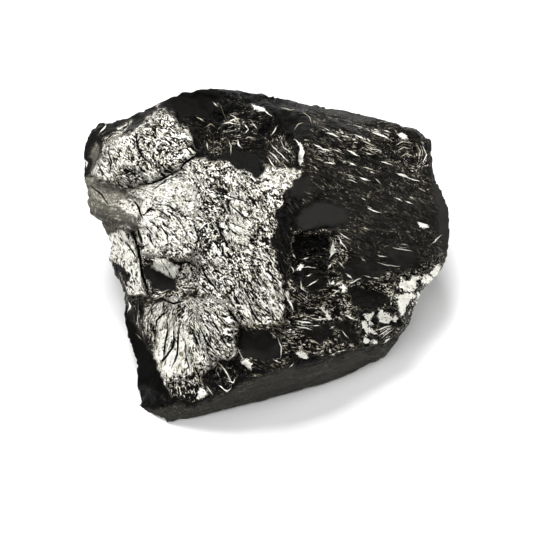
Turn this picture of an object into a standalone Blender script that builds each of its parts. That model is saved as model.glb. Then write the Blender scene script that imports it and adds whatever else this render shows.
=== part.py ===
"""Shungite nugget: one rough piece of glassy carbon, lying on its flat side.

The nugget is knapped the way the real one broke. It starts as a block with flat sides, given by the
corners where those sides meet, and its outline is trued. Then flakes, pits, steps, chips and cracks
are taken out of the broken face, and wide hollow scars out of the hidden sides. Last the surface is
thinned to an even faceted solid.

Places on the broken face are given in the plane that the face looks along: u runs to the right, v
runs up the face and w comes out of it. Other places are given as x, y and height. All sizes are in
millimetres until the solid is placed.
"""

import math
import random

import bmesh
import bpy
import numpy as np
from mathutils import Matrix, Vector, noise

MM = 0.001

# Driving dimensions, in mm.
FACE_PITCH = math.radians(50.0)  # the broken face looks up at this angle above the horizon
FACE_HEIGHT = 10.1  # the middle of the face plane stands this high above the resting side
OUTLINE_MIDDLE = (0.0, 2.0)  # the outline is drawn in towards this (u, v)
HEART = Vector((0.0, 3.0, 8.5))  # inside place that every part of the surface can be seen from
ARRIS_RADIUS = 0.15  # how much the edges between flat sides are rounded
SURFACE_POINTS = 7  # icosphere subdivisions of the surface before it is thinned
TRIANGLES = 9400
FOOT_BAND = 0.05  # thinning leaves the resting side this uneven at most, and it is then made flat
FACING = (0.02, 0.2)  # sides whose normals lean this far towards w belong to the broken face
SEED = 11

# The outline is measured in this many narrow slots, and drawn in this many passes. Only places that
# lie this far out along their slot are moved, from not at all to fully.
OUTLINE_SLOTS = 240
OUTLINE_PASSES = 3
OUTLINE_GRIP = (0.5, 0.97)

# The uneven run of the broken face: how far its patches and lines stray along u and v, and how far it
# rolls along w, each as (size of the pattern, amount, seed).
STRAY_U = [(2.6, 0.45, 3.0), (0.9, 0.2, 4.0)]
STRAY_V = [(2.6, 0.45, 8.0), (0.9, 0.2, 9.0)]
ROLLING = [(4.0, 0.18, 1.0), (1.5, 0.07, 2.0)]
FLAKE_EDGE = (-0.1, 0.3)  # a flake's wall runs from this far outside its corners to this far inside
CHIPPED_EDGE = 0.5  # chips fade out over this much on either side of their patch's edge
STEPPED_EDGE = 0.8  # and steps over this much
STEP_RISER = 0.8  # each step climbs over this share of its spacing and then drops
STEP_WANDER = 2.6  # how long the waves in a step's edge are
CRACK_FLOOR = 0.05  # half the width of a crack's floor
FACE_SPAN = ((-26.0, 26.0), (-22.0, 25.0))  # chips are laid out over this range of u and of v

# Wide shallow scars on the hidden sides: how many blows are tried, a scar's half length, its width as
# a share of that, its depth as a share of the width, how far it leans, and how round its floor is.
SCAR_BLOWS = 150
SCAR_HALF_LENGTH = (2.0, 7.5)
SCAR_WIDTH_SHARE = (0.55, 0.9)
SCAR_DEPTH_SHARE = (0.10, 0.2)
SCAR_LEAN = 0.25
SCAR_BOWL = 2.6
SCAR_LOWEST = 1.0  # no scar starts lower than this over the resting side
FACE_LIMIT = 0.02  # nor where the surface looks along w more than this
UNDERSIDE_LIMIT = -0.95  # nor where it looks down more than this
HIDDEN_ROUGHNESS = 0.35
HIDDEN_ROUGHNESS_SIZE = 5.0

# The outline of the broken face, clockwise from the left end, as (u, v, w).
RIM = [
    (-25.1, 13.0, -7.5),
    (-24.8, 16.3, -7.9),
    (-23.9, 18.1, -8.2),
    (-22.7, 19.2, -8.4),
    (-19.0, 20.2, -8.6),
    (-16.2, 21.4, -8.9),
    (-14.2, 22.4, -9.1),
    (-11.4, 23.7, -9.4),
    (-8.5, 24.1, -9.4),
    (-5.0, 24.0, -9.5),
    (-0.6, 23.6, -9.6),
    (3.4, 22.5, -9.7),
    (9.6, 21.4, -10.0),
    (14.0, 20.4, -10.1),
    (17.6, 19.5, -10.2),
    (20.7, 18.4, -10.2),
    (22.4, 17.2, -10.0),
    (22.5, 15.8, -9.6),
    (22.5, 13.8, -9.0),
    (23.0, 11.5, -8.4),
    (24.4, 9.4, -7.2),
    (25.0, 7.2, -6.2),
    (25.0, 4.5, -5.2),
    (24.1, 0.7, -4.2),
    (22.8, -1.4, -3.6),
    (20.8, -3.5, -3.1),
    (19.9, -5.7, -2.8),
    (19.0, -7.9, -2.4),
    (17.5, -10.1, -1.6),
    (15.8, -12.3, -0.6),
    (12.0, -14.3, -0.4),
    (8.0, -15.8, 1.0),
    (3.6, -16.9, 2.0),
    (-3.6, -18.9, 3.1),
    (-8.0, -20.0, 3.6),
    (-13.5, -21.1, 4.3),
    (-17.3, -19.0, 2.6),
    (-17.4, -13.6, -1.0),
    (-19.2, -8.0, -2.6),
    (-19.0, -3.6, -3.4),
    (-20.5, -0.9, -4.2),
    (-21.1, 1.0, -4.7),
    (-20.9, 3.0, -5.1),
    (-22.5, 6.2, -5.8),
    (-24.0, 7.2, -6.6),
    (-24.4, 9.6, -7.0),
]

# Where the flat sides of the broken face meet, as (u, v, w).
FACE_CORNERS = [
    # the bevelled upper left edge
    (-23.2, 12.6, -4.6),
    (-22.0, 16.4, -4.8),
    (-17.4, 18.6, -4.0),
    (-13.8, 20.6, -4.8),
    # the side that leans left
    (-9.5, 14.8, 0.0),
    (-19.6, 3.6, -1.6),
    (-17.0, -6.0, 1.2),
    (-15.4, -12.6, 3.4),
    (-13.6, -17.2, 5.6),
    (-4.0, -2.0, 8.0),
    # the ridge between the sides that lean left and right
    (5.0, 17.6, 0.0),
    (4.3, 12.3, 5.0),
    (1.8, 8.0, 8.0),
    (1.6, 1.0, 9.8),
    (2.0, -7.0, 10.0),
    # the side that leans right
    (13.0, 19.4, -7.4),
    (20.8, 16.0, -8.2),
    (22.2, 10.0, -5.4),
    (23.0, 4.6, -3.0),
    (10.0, 4.0, 7.0),
    (9.6, -5.0, 7.6),
    (19.6, -3.4, 1.0),
    # the crest of the wall along the foot
    (-10.0, -18.3, 7.0),
    (-4.0, -15.8, 8.6),
    (1.5, -13.9, 8.8),
    (9.0, -12.4, 6.6),
    (15.8, -10.6, 2.0),
]

# Where the hidden sides meet, and where they meet the resting side, as (x, y, height).
BACK_CORNERS = [
    (17.5, 21.0, 5.0),
    (12.0, 25.0, 9.0),
    (1.0, 27.5, 9.0),
    (-12.0, 26.0, 8.5),
    (-19.5, 20.5, 6.5),
    (22.5, 9.0, 4.6),
    (21.0, 16.5, 6.5),
    (-20.0, 11.0, 4.0),
    (-17.5, -3.0, 2.0),
]
FOOT_CORNERS = [
    (-14.5, -17.5, -0.9),
    (-3.0, -15.4, -0.9),
    (14.8, -9.4, -0.9),
    (18.0, 3.0, -0.9),
    (13.5, 16.0, -0.9),
    (0.0, 20.0, -0.9),
    (-12.5, 18.0, -0.9),
    (-16.5, 6.0, -0.9),
]

# Flakes split off the broken face: the corners (u, v) of each, how deep it goes at its middle, how
# the floor falls with u and v, and how hollow it is in the middle.
FLAKES = {
    "upper hollow": (
        [(-12.6, 20.3), (-12.2, 23.8), (5.4, 22.6), (5.2, 17.5), (4.6, 13.6), (2.6, 10.8), (-0.6, 12.8),
         (-3.5, 13.0), (-6.0, 14.3), (-9.2, 14.9), (-10.6, 17.5), (-11.7, 19.3)],
        0.7, (0.04, 0.0), 2.9),
    "upper left pane": (
        [(-12.8, 20.4), (-12.6, 23.6), (-6.8, 24.0), (-6.2, 22.4), (-8.0, 20.4)],
        0.3, (-0.15, 0.3), 0.3),
    "feather": (
        [(0.2, 18.6), (3.9, 17.4), (4.6, 14.4), (3.0, 12.8), (0.6, 14.6)],
        0.6, (-0.4, 0.1), 0.4),
    "bevel": (
        [(-25.4, 12.0), (-25.2, 18.0), (-20.0, 20.4), (-16.6, 20.6), (-18.0, 19.0), (-21.2, 17.4),
         (-22.6, 15.0), (-23.0, 12.4)],
        0.7, (-0.2, 0.25), 0.0),
    "shoulder": (
        [(-25.4, 11.8), (-20.5, 11.7), (-18.5, 10.0), (-16.5, 8.5), (-17.0, 6.4), (-18.0, 5.2),
         (-20.6, 4.8), (-22.6, 5.4), (-25.4, 7.2)],
        0.6, (-0.08, -0.22), 0.7),
    "left lobe": (
        [(-22.0, 4.4), (-17.8, 5.0), (-17.0, 1.5), (-16.3, -2.4), (-16.4, -4.6), (-20.0, -3.0),
         (-22.4, 0.6)],
        0.5, (-0.2, -0.06), 0.0),
    "pit": (
        [(-16.5, 1.2), (-12.0, 0.3), (-9.5, 1.3), (-8.8, -0.8), (-10.0, -3.6), (-13.0, -4.6), (-16.2, -4.2)],
        0.9, (-0.1, -0.35), 1.0),
    "dark side": (
        [(-19.6, -4.6), (-16.4, -6.4), (-16.6, -8.6), (-15.2, -12.4), (-13.3, -17.2), (-17.0, -19.4),
         (-18.4, -12.0), (-20.0, -7.0)],
        0.7, (0.4, 0.0), 0.4),
    "dark pane": (
        [(-3.9, -7.4), (-2.0, -9.1), (0.8, -8.6), (2.0, -10.4), (1.6, -13.0), (-3.0, -12.4), (-4.4, -11.4)],
        0.8, (0.2, -0.3), 0.5),
    "broken corner": (
        [(-9.6, -13.8), (-6.4, -12.4), (-3.4, -12.6), (-2.4, -14.6), (-4.8, -16.2), (-8.6, -17.4)],
        0.5, (0.1, -0.3), 0.4),
    "smooth pane": (
        [(4.2, 4.3), (3.6, 6.4), (5.3, 8.8), (7.2, 9.0), (10.4, 8.2), (11.4, 6.4), (10.5, 5.2)],
        0.3, (0.05, -0.2), 0.2),
    "ridge pane": (
        [(2.6, 8.8), (2.8, 12.2), (5.8, 12.8), (6.4, 10.4), (5.0, 9.0)],
        0.3, (-0.2, -0.1), 0.2),
    "pocket": (
        [(3.3, -3.2), (3.0, 1.0), (3.6, 4.3), (8.6, 4.7), (9.0, 2.0), (8.2, -2.8)],
        0.6, (0.12, -0.25), 0.6),
    "lower pocket": (
        [(3.0, -4.2), (8.2, -3.4), (9.4, -6.0), (7.4, -8.6), (3.4, -9.4)],
        0.4, (-0.16, -0.14), 0.4),
    "brown pocket": (
        [(10.4, -2.4), (14.0, -2.6), (17.4, -4.2), (15.6, -6.0), (11.6, -5.6)],
        0.6, (0.1, -0.4), 0.4),
    "right chip": (
        [(17.6, -0.8), (23.2, 0.6), (22.6, -3.2), (18.8, -7.4), (17.4, -4.0)],
        0.4, (0.2, -0.1), 0.4),
    "foot chip": (
        [(12.2, -6.2), (17.8, -6.4), (18.4, -9.4), (14.6, -11.0), (12.4, -9.8)],
        0.4, (0.05, -0.25), 0.4),
    "swirl": (
        [(16.4, 17.4), (21.8, 17.8), (22.8, 13.4), (19.4, 12.4), (16.6, 14.4)],
        0.3, (0.2, -0.05), 0.5),
    "edge strip": (
        [(22.2, 17.0), (22.7, 11.0), (23.2, 7.4), (23.0, 3.6), (24.4, 0.6), (26.0, 4.0), (25.6, 10.0)],
        0.5, (-0.35, 0.0), 0.0),
    "rim strip": (
        [(-4.0, 24.2), (-3.4, 22.6), (3.0, 21.4), (10.0, 19.8), (15.0, 18.8), (20.8, 17.0), (23.0, 18.4),
         (5.0, 23.0)],
        0.3, (0.0, -0.3), 0.0),
}

# Cracks across the broken face: the places (u, v) each runs through, its width and its depth.
CRACKS = {
    "main": ([(-9.2, 15.0), (-10.8, 14.2), (-12.3, 12.7), (-15.3, 11.2), (-17.0, 10.8), (-21.0, 10.4),
              (-24.0, 11.6)], 0.8, 0.8),
    "inner": ([(-17.6, 18.0), (-17.5, 16.5), (-17.0, 15.3), (-15.8, 14.0)], 0.5, 0.4),
    "left": ([(-17.8, 4.4), (-17.0, 1.5), (-16.5, -1.0), (-16.0, -4.2)], 0.7, 0.8),
    "shoulder": ([(-17.4, 9.0), (-16.6, 6.6), (-17.6, 4.8)], 0.5, 0.5),
    "slab": ([(-16.5, 8.0), (-13.0, 5.0), (-10.0, 1.5)], 0.5, 0.35),
    "ridge": ([(-9.0, 0.5), (-7.5, -2.5), (-4.2, -5.0), (-4.0, -8.0)], 0.6, 0.5),
}

# Runs of steps, each a stack of thin broken layers: the corners (u, v) of the part of the face they
# cover, the direction the edges run in degrees, their spacing, their height and how wavy they are.
STEPS = {
    "right side": (
        [(4.6, 20.6), (14.0, 19.6), (22.0, 16.6), (23.4, 6.0), (20.0, 0.0), (10.0, 2.0), (9.0, 8.0),
         (6.0, 13.0)],
        -17.0, 2.1, 0.42, 0.7),
    "slab": (
        [(-16.6, 9.6), (-10.0, 14.6), (-2.0, 12.4), (0.6, 6.0), (1.4, -6.0), (-4.0, -5.4), (-9.0, 1.0)],
        -50.0, 2.1, 0.38, 1.0),
    "upper left lobe": (
        [(-22.8, 12.0), (-21.6, 16.6), (-15.0, 21.0), (-10.6, 17.0), (-12.0, 13.0), (-17.0, 11.2)],
        -28.0, 2.4, 0.3, 1.0),
    "fan left": (
        [(-16.6, -5.4), (-12.0, -5.0), (-12.0, -11.0), (-13.6, -16.0), (-15.4, -12.0)],
        -104.0, 1.6, 0.34, 0.7),
    "fan right": (
        [(-12.0, -5.0), (-4.0, -5.6), (-3.8, -11.0), (-9.4, -14.0), (-12.4, -17.0), (-12.0, -11.0)],
        -58.0, 1.8, 0.34, 0.8),
    "foot wall": (
        [(-17.0, -18.6), (-9.0, -18.0), (-3.0, -15.0), (9.0, -12.4), (16.4, -10.6), (12.0, -15.0),
         (-13.0, -22.0)],
        13.0, 2.4, 0.3, 0.8),
}

# Parts of the face that broke into small chips: corners (u, v), chip size and how far chips tilt.
CHIPPED = {
    "lower right": (
        [(3.0, 5.0), (11.0, 5.6), (18.0, 1.6), (23.4, 0.6), (18.6, -8.4), (14.4, -10.8), (3.0, -13.2),
         (1.6, -6.0)],
        2.3, 0.26),
    "top": ([(-12.0, 23.6), (6.0, 22.6), (4.6, 13.6), (-8.8, 15.2)], 3.4, 0.16),
    "foot": ([(-9.6, -12.6), (-3.0, -6.0), (2.4, -8.0), (2.0, -13.6), (-6.0, -17.0)], 1.9, 0.24),
    "upper left": ([(-23.0, 12.0), (-21.0, 17.6), (-14.8, 21.2), (-10.0, 16.4), (-13.6, 12.2)], 2.4, 0.16),
}


def face_axes():
    """The directions of u, v and w in the nugget's own frame."""
    sine, cosine = math.sin(FACE_PITCH), math.cos(FACE_PITCH)
    return np.array([(1, 0, 0), (0, sine, cosine), (0, -cosine, sine)])


def on_face(places):
    """Places given on the broken face, as x, y and height."""
    return np.array(places) @ face_axes() + (0, 0, FACE_HEIGHT)


def ramp(value, start, end):
    """Rises smoothly from 0 to 1 between start and end."""
    share = np.clip((value - start) / (end - start), 0, 1)
    return share * share * (3 - 2 * share)


def wander(u, v, size, seed):
    """A smooth irregular value from about -1 to 1 that changes over the given size."""
    return np.array([noise.noise(Vector((a / size, b / size, seed))) for a, b in zip(u, v)]) * 2


def wanders(u, v, patterns):
    """The sum of several patterns, each given as its size, its amount and its seed."""
    return sum(amount * wander(u, v, size, seed) for size, amount, seed in patterns)


def line_distance(u, v, places):
    """How far each place is from a line through the given places."""
    nearest = np.full(u.shape, np.inf)
    for (au, av), (bu, bv) in zip(places[:-1], places[1:]):
        du, dv = bu - au, bv - av
        share = np.clip(((u - au) * du + (v - av) * dv) / (du * du + dv * dv), 0, 1)
        nearest = np.minimum(nearest, np.hypot(u - au - share * du, v - av - share * dv))
    return nearest


def depth_inside(u, v, corners):
    """How far each place is inside the patch with these corners; negative outside it."""
    closed = corners + corners[:1]
    inside = np.zeros(u.shape, bool)
    for (au, av), (bu, bv) in zip(closed[:-1], closed[1:]):
        if av != bv:
            crossing = au + (v - av) * (bu - au) / (bv - av)
            inside ^= ((av > v) != (bv > v)) & (u < crossing)
    return np.where(inside, 1, -1) * line_distance(u, v, closed)


def flat_sides(corners):
    """The outward normals of the block that has these corners, and how far each side is from HEART."""
    block = bmesh.new()
    for corner in corners:
        block.verts.new(Vector(corner) - HEART)
    hull = bmesh.ops.convex_hull(block, input=block.verts)
    normals, reach = [], []
    for side in hull["geom"]:
        if isinstance(side, bmesh.types.BMFace):
            distance = side.normal.dot(side.verts[0].co)
            normals.append(side.normal * math.copysign(1, distance))
            reach.append(abs(distance))
    block.free()
    return np.array(normals), np.array(reach)


def block_radius(directions, normals, reach):
    """How far the block reaches from HEART in each direction, with its edges rounded."""
    facing = directions @ normals.T
    each = np.where(facing > 1e-6, reach / np.maximum(facing, 1e-6), np.inf)
    nearest = each.min(axis=1)
    softened = np.exp(-(each - nearest[:, None]) / ARRIS_RADIUS).sum(axis=1)
    return nearest - ARRIS_RADIUS * np.log(softened), normals[each.argmin(axis=1)]


def strike(radius, directions, centre, normal, along, half_length, half_width, depth):
    """Takes one hollow scar out of the surface: the near side of an ellipsoid that stands over it."""
    across = np.cross(normal, along)
    thickness = depth * SCAR_BOWL
    share = math.sqrt(1 - ((thickness - depth) / thickness) ** 2)
    squash = np.array([along * share / half_length, across * share / half_width, normal / thickness])
    middle = squash @ (centre + normal * (thickness - depth))
    rays = directions @ squash.T
    square = (rays**2).sum(axis=1)
    dot = rays @ middle
    gap = dot**2 - square * (middle @ middle - 1)
    entry = (dot - np.sqrt(np.maximum(gap, 0))) / square
    hit = (gap > 0) & (entry > 0)
    return np.where(hit, np.minimum(radius, entry), radius)


def strike_hidden_scars(radius, directions, normals):
    """Takes wide shallow scars out of the sides that the broken face doesn't cover."""
    chance = random.Random(SEED)
    out = face_axes()[2]
    for _ in range(SCAR_BLOWS):
        index = chance.randrange(len(directions))
        centre, normal = directions[index] * radius[index], normals[index]
        half_length = chance.uniform(*SCAR_HALF_LENGTH)
        half_width = half_length * chance.uniform(*SCAR_WIDTH_SHARE)
        depth = half_width * chance.uniform(*SCAR_DEPTH_SHARE)
        lean = [chance.uniform(-SCAR_LEAN, SCAR_LEAN) for _ in range(3)]
        hint = [chance.uniform(-1, 1) for _ in range(3)]
        too_low = normal[2] < UNDERSIDE_LIMIT or centre[2] + HEART.z < SCAR_LOWEST
        if too_low or normal @ out > FACE_LIMIT:
            continue
        normal = normal + lean
        normal /= np.linalg.norm(normal)
        along = np.cross(normal, hint)
        along /= np.linalg.norm(along)
        radius = strike(radius, directions, centre, normal, along, half_length, half_width, depth)
    return radius


def reach_of(loop, angle):
    """How far a closed loop round (0, 0) reaches at each angle."""
    du, dv = np.cos(angle), np.sin(angle)
    reach = np.zeros(angle.shape)
    for (au, av), (bu, bv) in zip(loop, loop[1:] + loop[:1]):
        side = du * (bv - av) - dv * (bu - au)
        side = np.where(np.abs(side) < 1e-9, 1e-9, side)
        far = (au * (bv - av) - av * (bu - au)) / side
        share = (au * dv - av * du) / side
        reach = np.where((far > 0) & (share > -1e-6) & (share < 1 + 1e-6), np.maximum(reach, far), reach)
    return reach


def true_outline(u, v):
    """Draws the outline of the block, seen along w, out or in to the rim of the broken face."""
    middle_u, middle_v = OUTLINE_MIDDLE
    centres = (np.arange(OUTLINE_SLOTS) + 0.5) / OUTLINE_SLOTS * math.tau - math.pi
    rim = [(place[0] - middle_u, place[1] - middle_v) for place in RIM]
    for _ in range(OUTLINE_PASSES):
        angle = np.arctan2(v - middle_v, u - middle_u)
        distance = np.hypot(u - middle_u, v - middle_v)
        slot = ((angle + math.pi) / math.tau * OUTLINE_SLOTS).astype(int) % OUTLINE_SLOTS
        widest = np.zeros(OUTLINE_SLOTS)
        np.maximum.at(widest, slot, distance)
        measured = np.interp(angle, centres, widest, period=math.tau)
        stretch = 1 + (reach_of(rim, angle) / measured - 1) * ramp(distance / measured, *OUTLINE_GRIP)
        u, v = middle_u + (u - middle_u) * stretch, middle_v + (v - middle_v) * stretch
    return u, v


def chip_facets(u, v, size, tilt, seed):
    """Small flat chips, each tilted its own way, as height over the face."""
    chance = random.Random(seed)
    (left, right), (bottom, top) = FACE_SPAN
    seeds = [(chance.uniform(left, right), chance.uniform(bottom, top), chance.uniform(-tilt, tilt),
              chance.uniform(-tilt, tilt)) for _ in range(int((right - left) * (top - bottom) / size**2))]
    nearest = np.full(u.shape, np.inf)
    height = np.zeros(u.shape)
    for su, sv, lean_u, lean_v in seeds:
        distance = (u - su) ** 2 + (v - sv) ** 2
        closer = distance < nearest
        height = np.where(closer, (u - su) * lean_u + (v - sv) * lean_v, height)
        nearest = np.minimum(nearest, distance)
    return height


def face_relief(u, v):
    """How far the broken face stands above or below the block's flat sides, along w."""
    du, dv, relief = u + wanders(u, v, STRAY_U), v + wanders(u, v, STRAY_V), wanders(u, v, ROLLING)

    for corners, depth, (fall_u, fall_v), hollow in FLAKES.values():
        inside = depth_inside(du, dv, corners)
        middle_u, middle_v = np.mean(corners, axis=0)
        widest = max(float(inside.max()), 0.5)
        bowl = hollow * ramp(inside, FLAKE_EDGE[0], widest)
        floor = np.maximum(depth + bowl - fall_u * (u - middle_u) - fall_v * (v - middle_v), 0)
        relief -= floor * ramp(inside, *FLAKE_EDGE)

    for number, (corners, size, tilt) in enumerate(CHIPPED.values()):
        share = ramp(depth_inside(du, dv, corners), -CHIPPED_EDGE, CHIPPED_EDGE)
        relief += share * chip_facets(du, dv, size, tilt, SEED + number)

    for number, (corners, turn, spacing, height, wavy) in enumerate(STEPS.values()):
        share = ramp(depth_inside(du, dv, corners), -STEPPED_EDGE, STEPPED_EDGE)
        run = math.radians(turn)
        along = u * math.cos(run) + v * math.sin(run)
        across = -u * math.sin(run) + v * math.cos(run)
        phase = (across + wavy * wander(along * 0.35, across, STEP_WANDER, 20.0 + number)) / spacing
        edge = phase - np.floor(phase)
        relief += share * height * (edge - 0.5 - ramp(edge, STEP_RISER, 1.0))

    for places, width, depth in CRACKS.values():
        distance = line_distance(du, dv, places)
        relief -= depth * (1 - ramp(distance, CRACK_FLOOR, width))
    return relief


def build_surface():
    """The whole surface of the nugget, as a mesh in mm."""
    surface = bmesh.new()
    bmesh.ops.create_icosphere(surface, subdivisions=SURFACE_POINTS, radius=1.0)
    directions = np.array([v.co.normalized() for v in surface.verts])

    corners = np.vstack([on_face(RIM + FACE_CORNERS), BACK_CORNERS + FOOT_CORNERS])
    radius, normals = block_radius(directions, *flat_sides(corners))
    radius = strike_hidden_scars(radius, directions, normals)
    places = directions * radius[:, None] + HEART

    axes = face_axes()
    u, v, w = ((places - (0, 0, FACE_HEIGHT)) @ axes.T).T
    u, v = true_outline(u, v)
    rough = [noise.fractal(Vector(place) / HIDDEN_ROUGHNESS_SIZE, 1.0, 2.0, 3) for place in places]
    facing = ramp(normals @ axes[2], *FACING)
    w = w + facing * face_relief(u, v)
    hidden = HIDDEN_ROUGHNESS * np.array(rough) * (1 - facing)
    places = on_face(np.column_stack([u, v, w])) + directions * hidden[:, None]
    places[:, 2] = np.maximum(places[:, 2], 0)

    middle = (places.min(axis=0) + places.max(axis=0)) / 2
    places[:, :2] -= middle[:2]
    for vertex, place in zip(surface.verts, places):
        vertex.co = Vector(place)
    return surface


def thin_out(nugget):
    """Collapses the even surface into fewer triangles, which keeps its edges."""
    thinner = nugget.modifiers.new("thin out", "DECIMATE")
    thinner.ratio = TRIANGLES / len(nugget.data.polygons)
    bpy.context.view_layer.update()
    thinned = bpy.data.meshes.new_from_object(
        nugget.evaluated_get(bpy.context.evaluated_depsgraph_get()))
    nugget.modifiers.clear()
    nugget.data = thinned
    for vertex in thinned.vertices:
        if vertex.co.z < FOOT_BAND:
            vertex.co.z = 0.0


def shungite():
    """Glassy black carbon with a half-metallic shine."""
    material = bpy.data.materials.new("shungite")
    material.use_nodes = True
    shader = material.node_tree.nodes["Principled BSDF"]
    shader.inputs["Base Color"].default_value = (0.045, 0.044, 0.040, 1.0)
    shader.inputs["Roughness"].default_value = 0.28
    shader.inputs["Metallic"].default_value = 0.35
    return material


def main():
    for item in list(bpy.data.objects):
        bpy.data.objects.remove(item)
    surface = build_surface()
    mesh = bpy.data.meshes.new("nugget")
    surface.to_mesh(mesh)
    surface.free()
    nugget = bpy.data.objects.new("nugget", mesh)
    collection = bpy.data.collections.new("shungite nugget")
    bpy.context.scene.collection.children.link(collection)
    collection.objects.link(nugget)
    thin_out(nugget)
    nugget.data.name = "nugget"
    nugget.data.materials.append(shungite())
    nugget.data.transform(Matrix.Scale(MM, 4))


if __name__ == "__main__":
    main()
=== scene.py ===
"""Shungite nugget: the looks of one rough piece of glassy carbon, lying on a pale studio floor.

The nugget's skin is a finer copy of its solid. Places on the broken face are given in the plane that
the face looks along, in millimetres: u runs to the right, v up the face and w out of it.
"""

import logging
import math
import random
from dataclasses import dataclass, field
from enum import Enum

import bmesh
import bpy
import numpy as np
from mathutils import Matrix, Vector, kdtree, noise


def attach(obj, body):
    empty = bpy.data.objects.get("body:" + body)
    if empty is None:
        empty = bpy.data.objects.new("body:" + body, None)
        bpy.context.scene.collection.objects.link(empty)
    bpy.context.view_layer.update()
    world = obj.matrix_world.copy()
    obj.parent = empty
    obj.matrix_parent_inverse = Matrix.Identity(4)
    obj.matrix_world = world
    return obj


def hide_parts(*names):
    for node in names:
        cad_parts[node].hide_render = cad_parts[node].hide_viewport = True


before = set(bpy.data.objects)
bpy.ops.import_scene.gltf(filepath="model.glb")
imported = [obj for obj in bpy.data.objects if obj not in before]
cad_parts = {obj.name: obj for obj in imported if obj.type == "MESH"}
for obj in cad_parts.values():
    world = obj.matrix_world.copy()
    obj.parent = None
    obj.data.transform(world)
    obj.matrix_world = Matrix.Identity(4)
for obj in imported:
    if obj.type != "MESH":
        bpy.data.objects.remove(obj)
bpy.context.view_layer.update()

MM = 0.001
NODE = "nugget"
LOG = logging.getLogger("nugget")
Socket = bpy.types.NodeSocket
Pair = tuple[float, float]
Line = list[Pair]  # places on the face, as u and v in mm
Stray = tuple[float, float, float]  # a noise that moves places: its size and reach in mm and its seed
Stops = tuple[tuple[float, str], ...]  # colours at some levels, with those at both ends first
Values = dict[str, np.ndarray]  # one value for each point of the skin, by name

# The plane that the broken face looks along.
FACE_PITCH = math.radians(50.0)  # how far above the horizon the face looks
FACE_ORIGIN_MM = np.array((0.02, -3.88, 10.1))  # where u, v and w are 0
PICTURE_SIDE_PX = 533
PIXEL_MM = 0.135  # what one pixel of the render spans on the face
PICTURE_WIDTH_MM = PICTURE_SIDE_PX * PIXEL_MM

# What is read from the patches, and what each point of the skin carries for the finish.
LOOKS = ("painted_shine", "contrast", "cuts", "sparkle", "chipped", "polish", "painted_sheen")
RELIEFS = ("ridges_mm", "steps_mm", "chips_mm")
SEAM_VALUES = ("across", "near", "half", "tone")
FINISH_VALUES = LOOKS + SEAM_VALUES + ("plate",)


def face_axes() -> np.ndarray:
    """Gives the directions of u, v and w.

    Returns:
        A 3 by 3 array with one unit direction in each row.
    """
    sine, cosine = math.sin(FACE_PITCH), math.cos(FACE_PITCH)
    return np.array([(1, 0, 0), (0, sine, cosine), (0, -cosine, sine)])


def linear(hex_colour: str) -> tuple[float, float, float, float]:
    """Turns an sRGB hex colour into linear light.

    Args:
        hex_colour: six hex digits after a hash sign.

    Returns:
        Red, green, blue and alpha.
    """
    channels = [int(hex_colour[at:at + 2], 16) / 255 for at in (1, 3, 5)]
    red, green, blue = [c / 12.92 if c <= 0.04045 else ((c + 0.055) / 1.055) ** 2.4 for c in channels]
    return red, green, blue, 1.0


def add(tree: bpy.types.NodeTree, kind: str, inputs: dict | tuple = (), out: int | str = 0,
        **settings: str) -> Socket:
    """Adds a node with its settings, its values and its incoming links.

    Args:
        tree: the material's node tree.
        kind: the node's type, such as ShaderNodeMath.
        inputs: the socket that each of its inputs is linked to, or the input's value. They are in the
            order of the inputs, or go by an input's name or number.
        out: which of the node's outputs is wanted.
        **settings: the node's own properties.

    Returns:
        The wanted output socket, or the first input of a node that has no output.
    """
    node = tree.nodes.new(kind)
    for name, value in settings.items():
        setattr(node, name, value)
    for name, value in inputs.items() if isinstance(inputs, dict) else enumerate(inputs):
        if isinstance(value, Socket):
            tree.links.new(value, node.inputs[name])
        else:
            node.inputs[name].default_value = value
    return node.outputs[out] if len(node.outputs) else node.inputs[0]


def ramp(value: np.ndarray, start: float, end: float) -> np.ndarray:
    """Rises smoothly from 0 to 1 between start and end.

    Args:
        value: what is compared with start and end.
        start: where the rise begins.
        end: where it is done.

    Returns:
        The share of the rise at each value.
    """
    share = np.clip((value - start) / (end - start), 0, 1)
    return share * share * (3 - 2 * share)


def wander(first: np.ndarray, second: np.ndarray, seed: float) -> np.ndarray:
    """Gives a smooth irregular value from about -1 to 1 at each pair of coordinates.

    Args:
        first: first coordinate, in units of the pattern's size.
        second: second coordinate, in the same units.
        seed: picks one pattern.

    Returns:
        The value at each place.
    """
    return np.array([noise.noise(Vector((a, b, seed))) for a, b in zip(first, second)]) * 2


def stray(face: np.ndarray, size_mm: float, reach_mm: float, seed: float) -> np.ndarray:
    """Gives each place on the face a smooth irregular shift.

    Args:
        face: u and v of each place, in two rows.
        size_mm: the pattern's size.
        reach_mm: the shift's usual reach.
        seed: picks one pattern for u and, five further on, another for v.

    Returns:
        The shifts along u and v, in two rows.
    """
    return np.array([wander(*(face / size_mm), seed + further) * reach_mm for further in (0.0, 5.0)])


def depth_inside(face: np.ndarray, corners: Line) -> np.ndarray:
    """Measures how far inside a patch each place is.

    Args:
        face: u and v of each place, in two rows.
        corners: the patch's corners in order.

    Returns:
        The distance to the patch's edge in mm, negative outside it.
    """
    u, v = face
    inside = np.zeros(u.shape, bool)
    nearest = np.full(u.shape, np.inf)
    for (au, av), (bu, bv) in zip(corners, corners[1:] + corners[:1]):
        du, dv = bu - au, bv - av
        share = np.clip(((u - au) * du + (v - av) * dv) / (du * du + dv * dv), 0, 1)
        nearest = np.minimum(nearest, np.hypot(u - au - share * du, v - av - share * dv))
        if av != bv:
            inside ^= ((av > v) != (bv > v)) & (u < au + (v - av) * du / dv)
    return np.where(inside, 1, -1) * nearest


class Flow(Enum):
    """How the layers in a patch of the break run."""

    STRAIGHT = "side by side at one angle"
    FAN = "out from one place"
    ARCS = "round one place"


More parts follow.
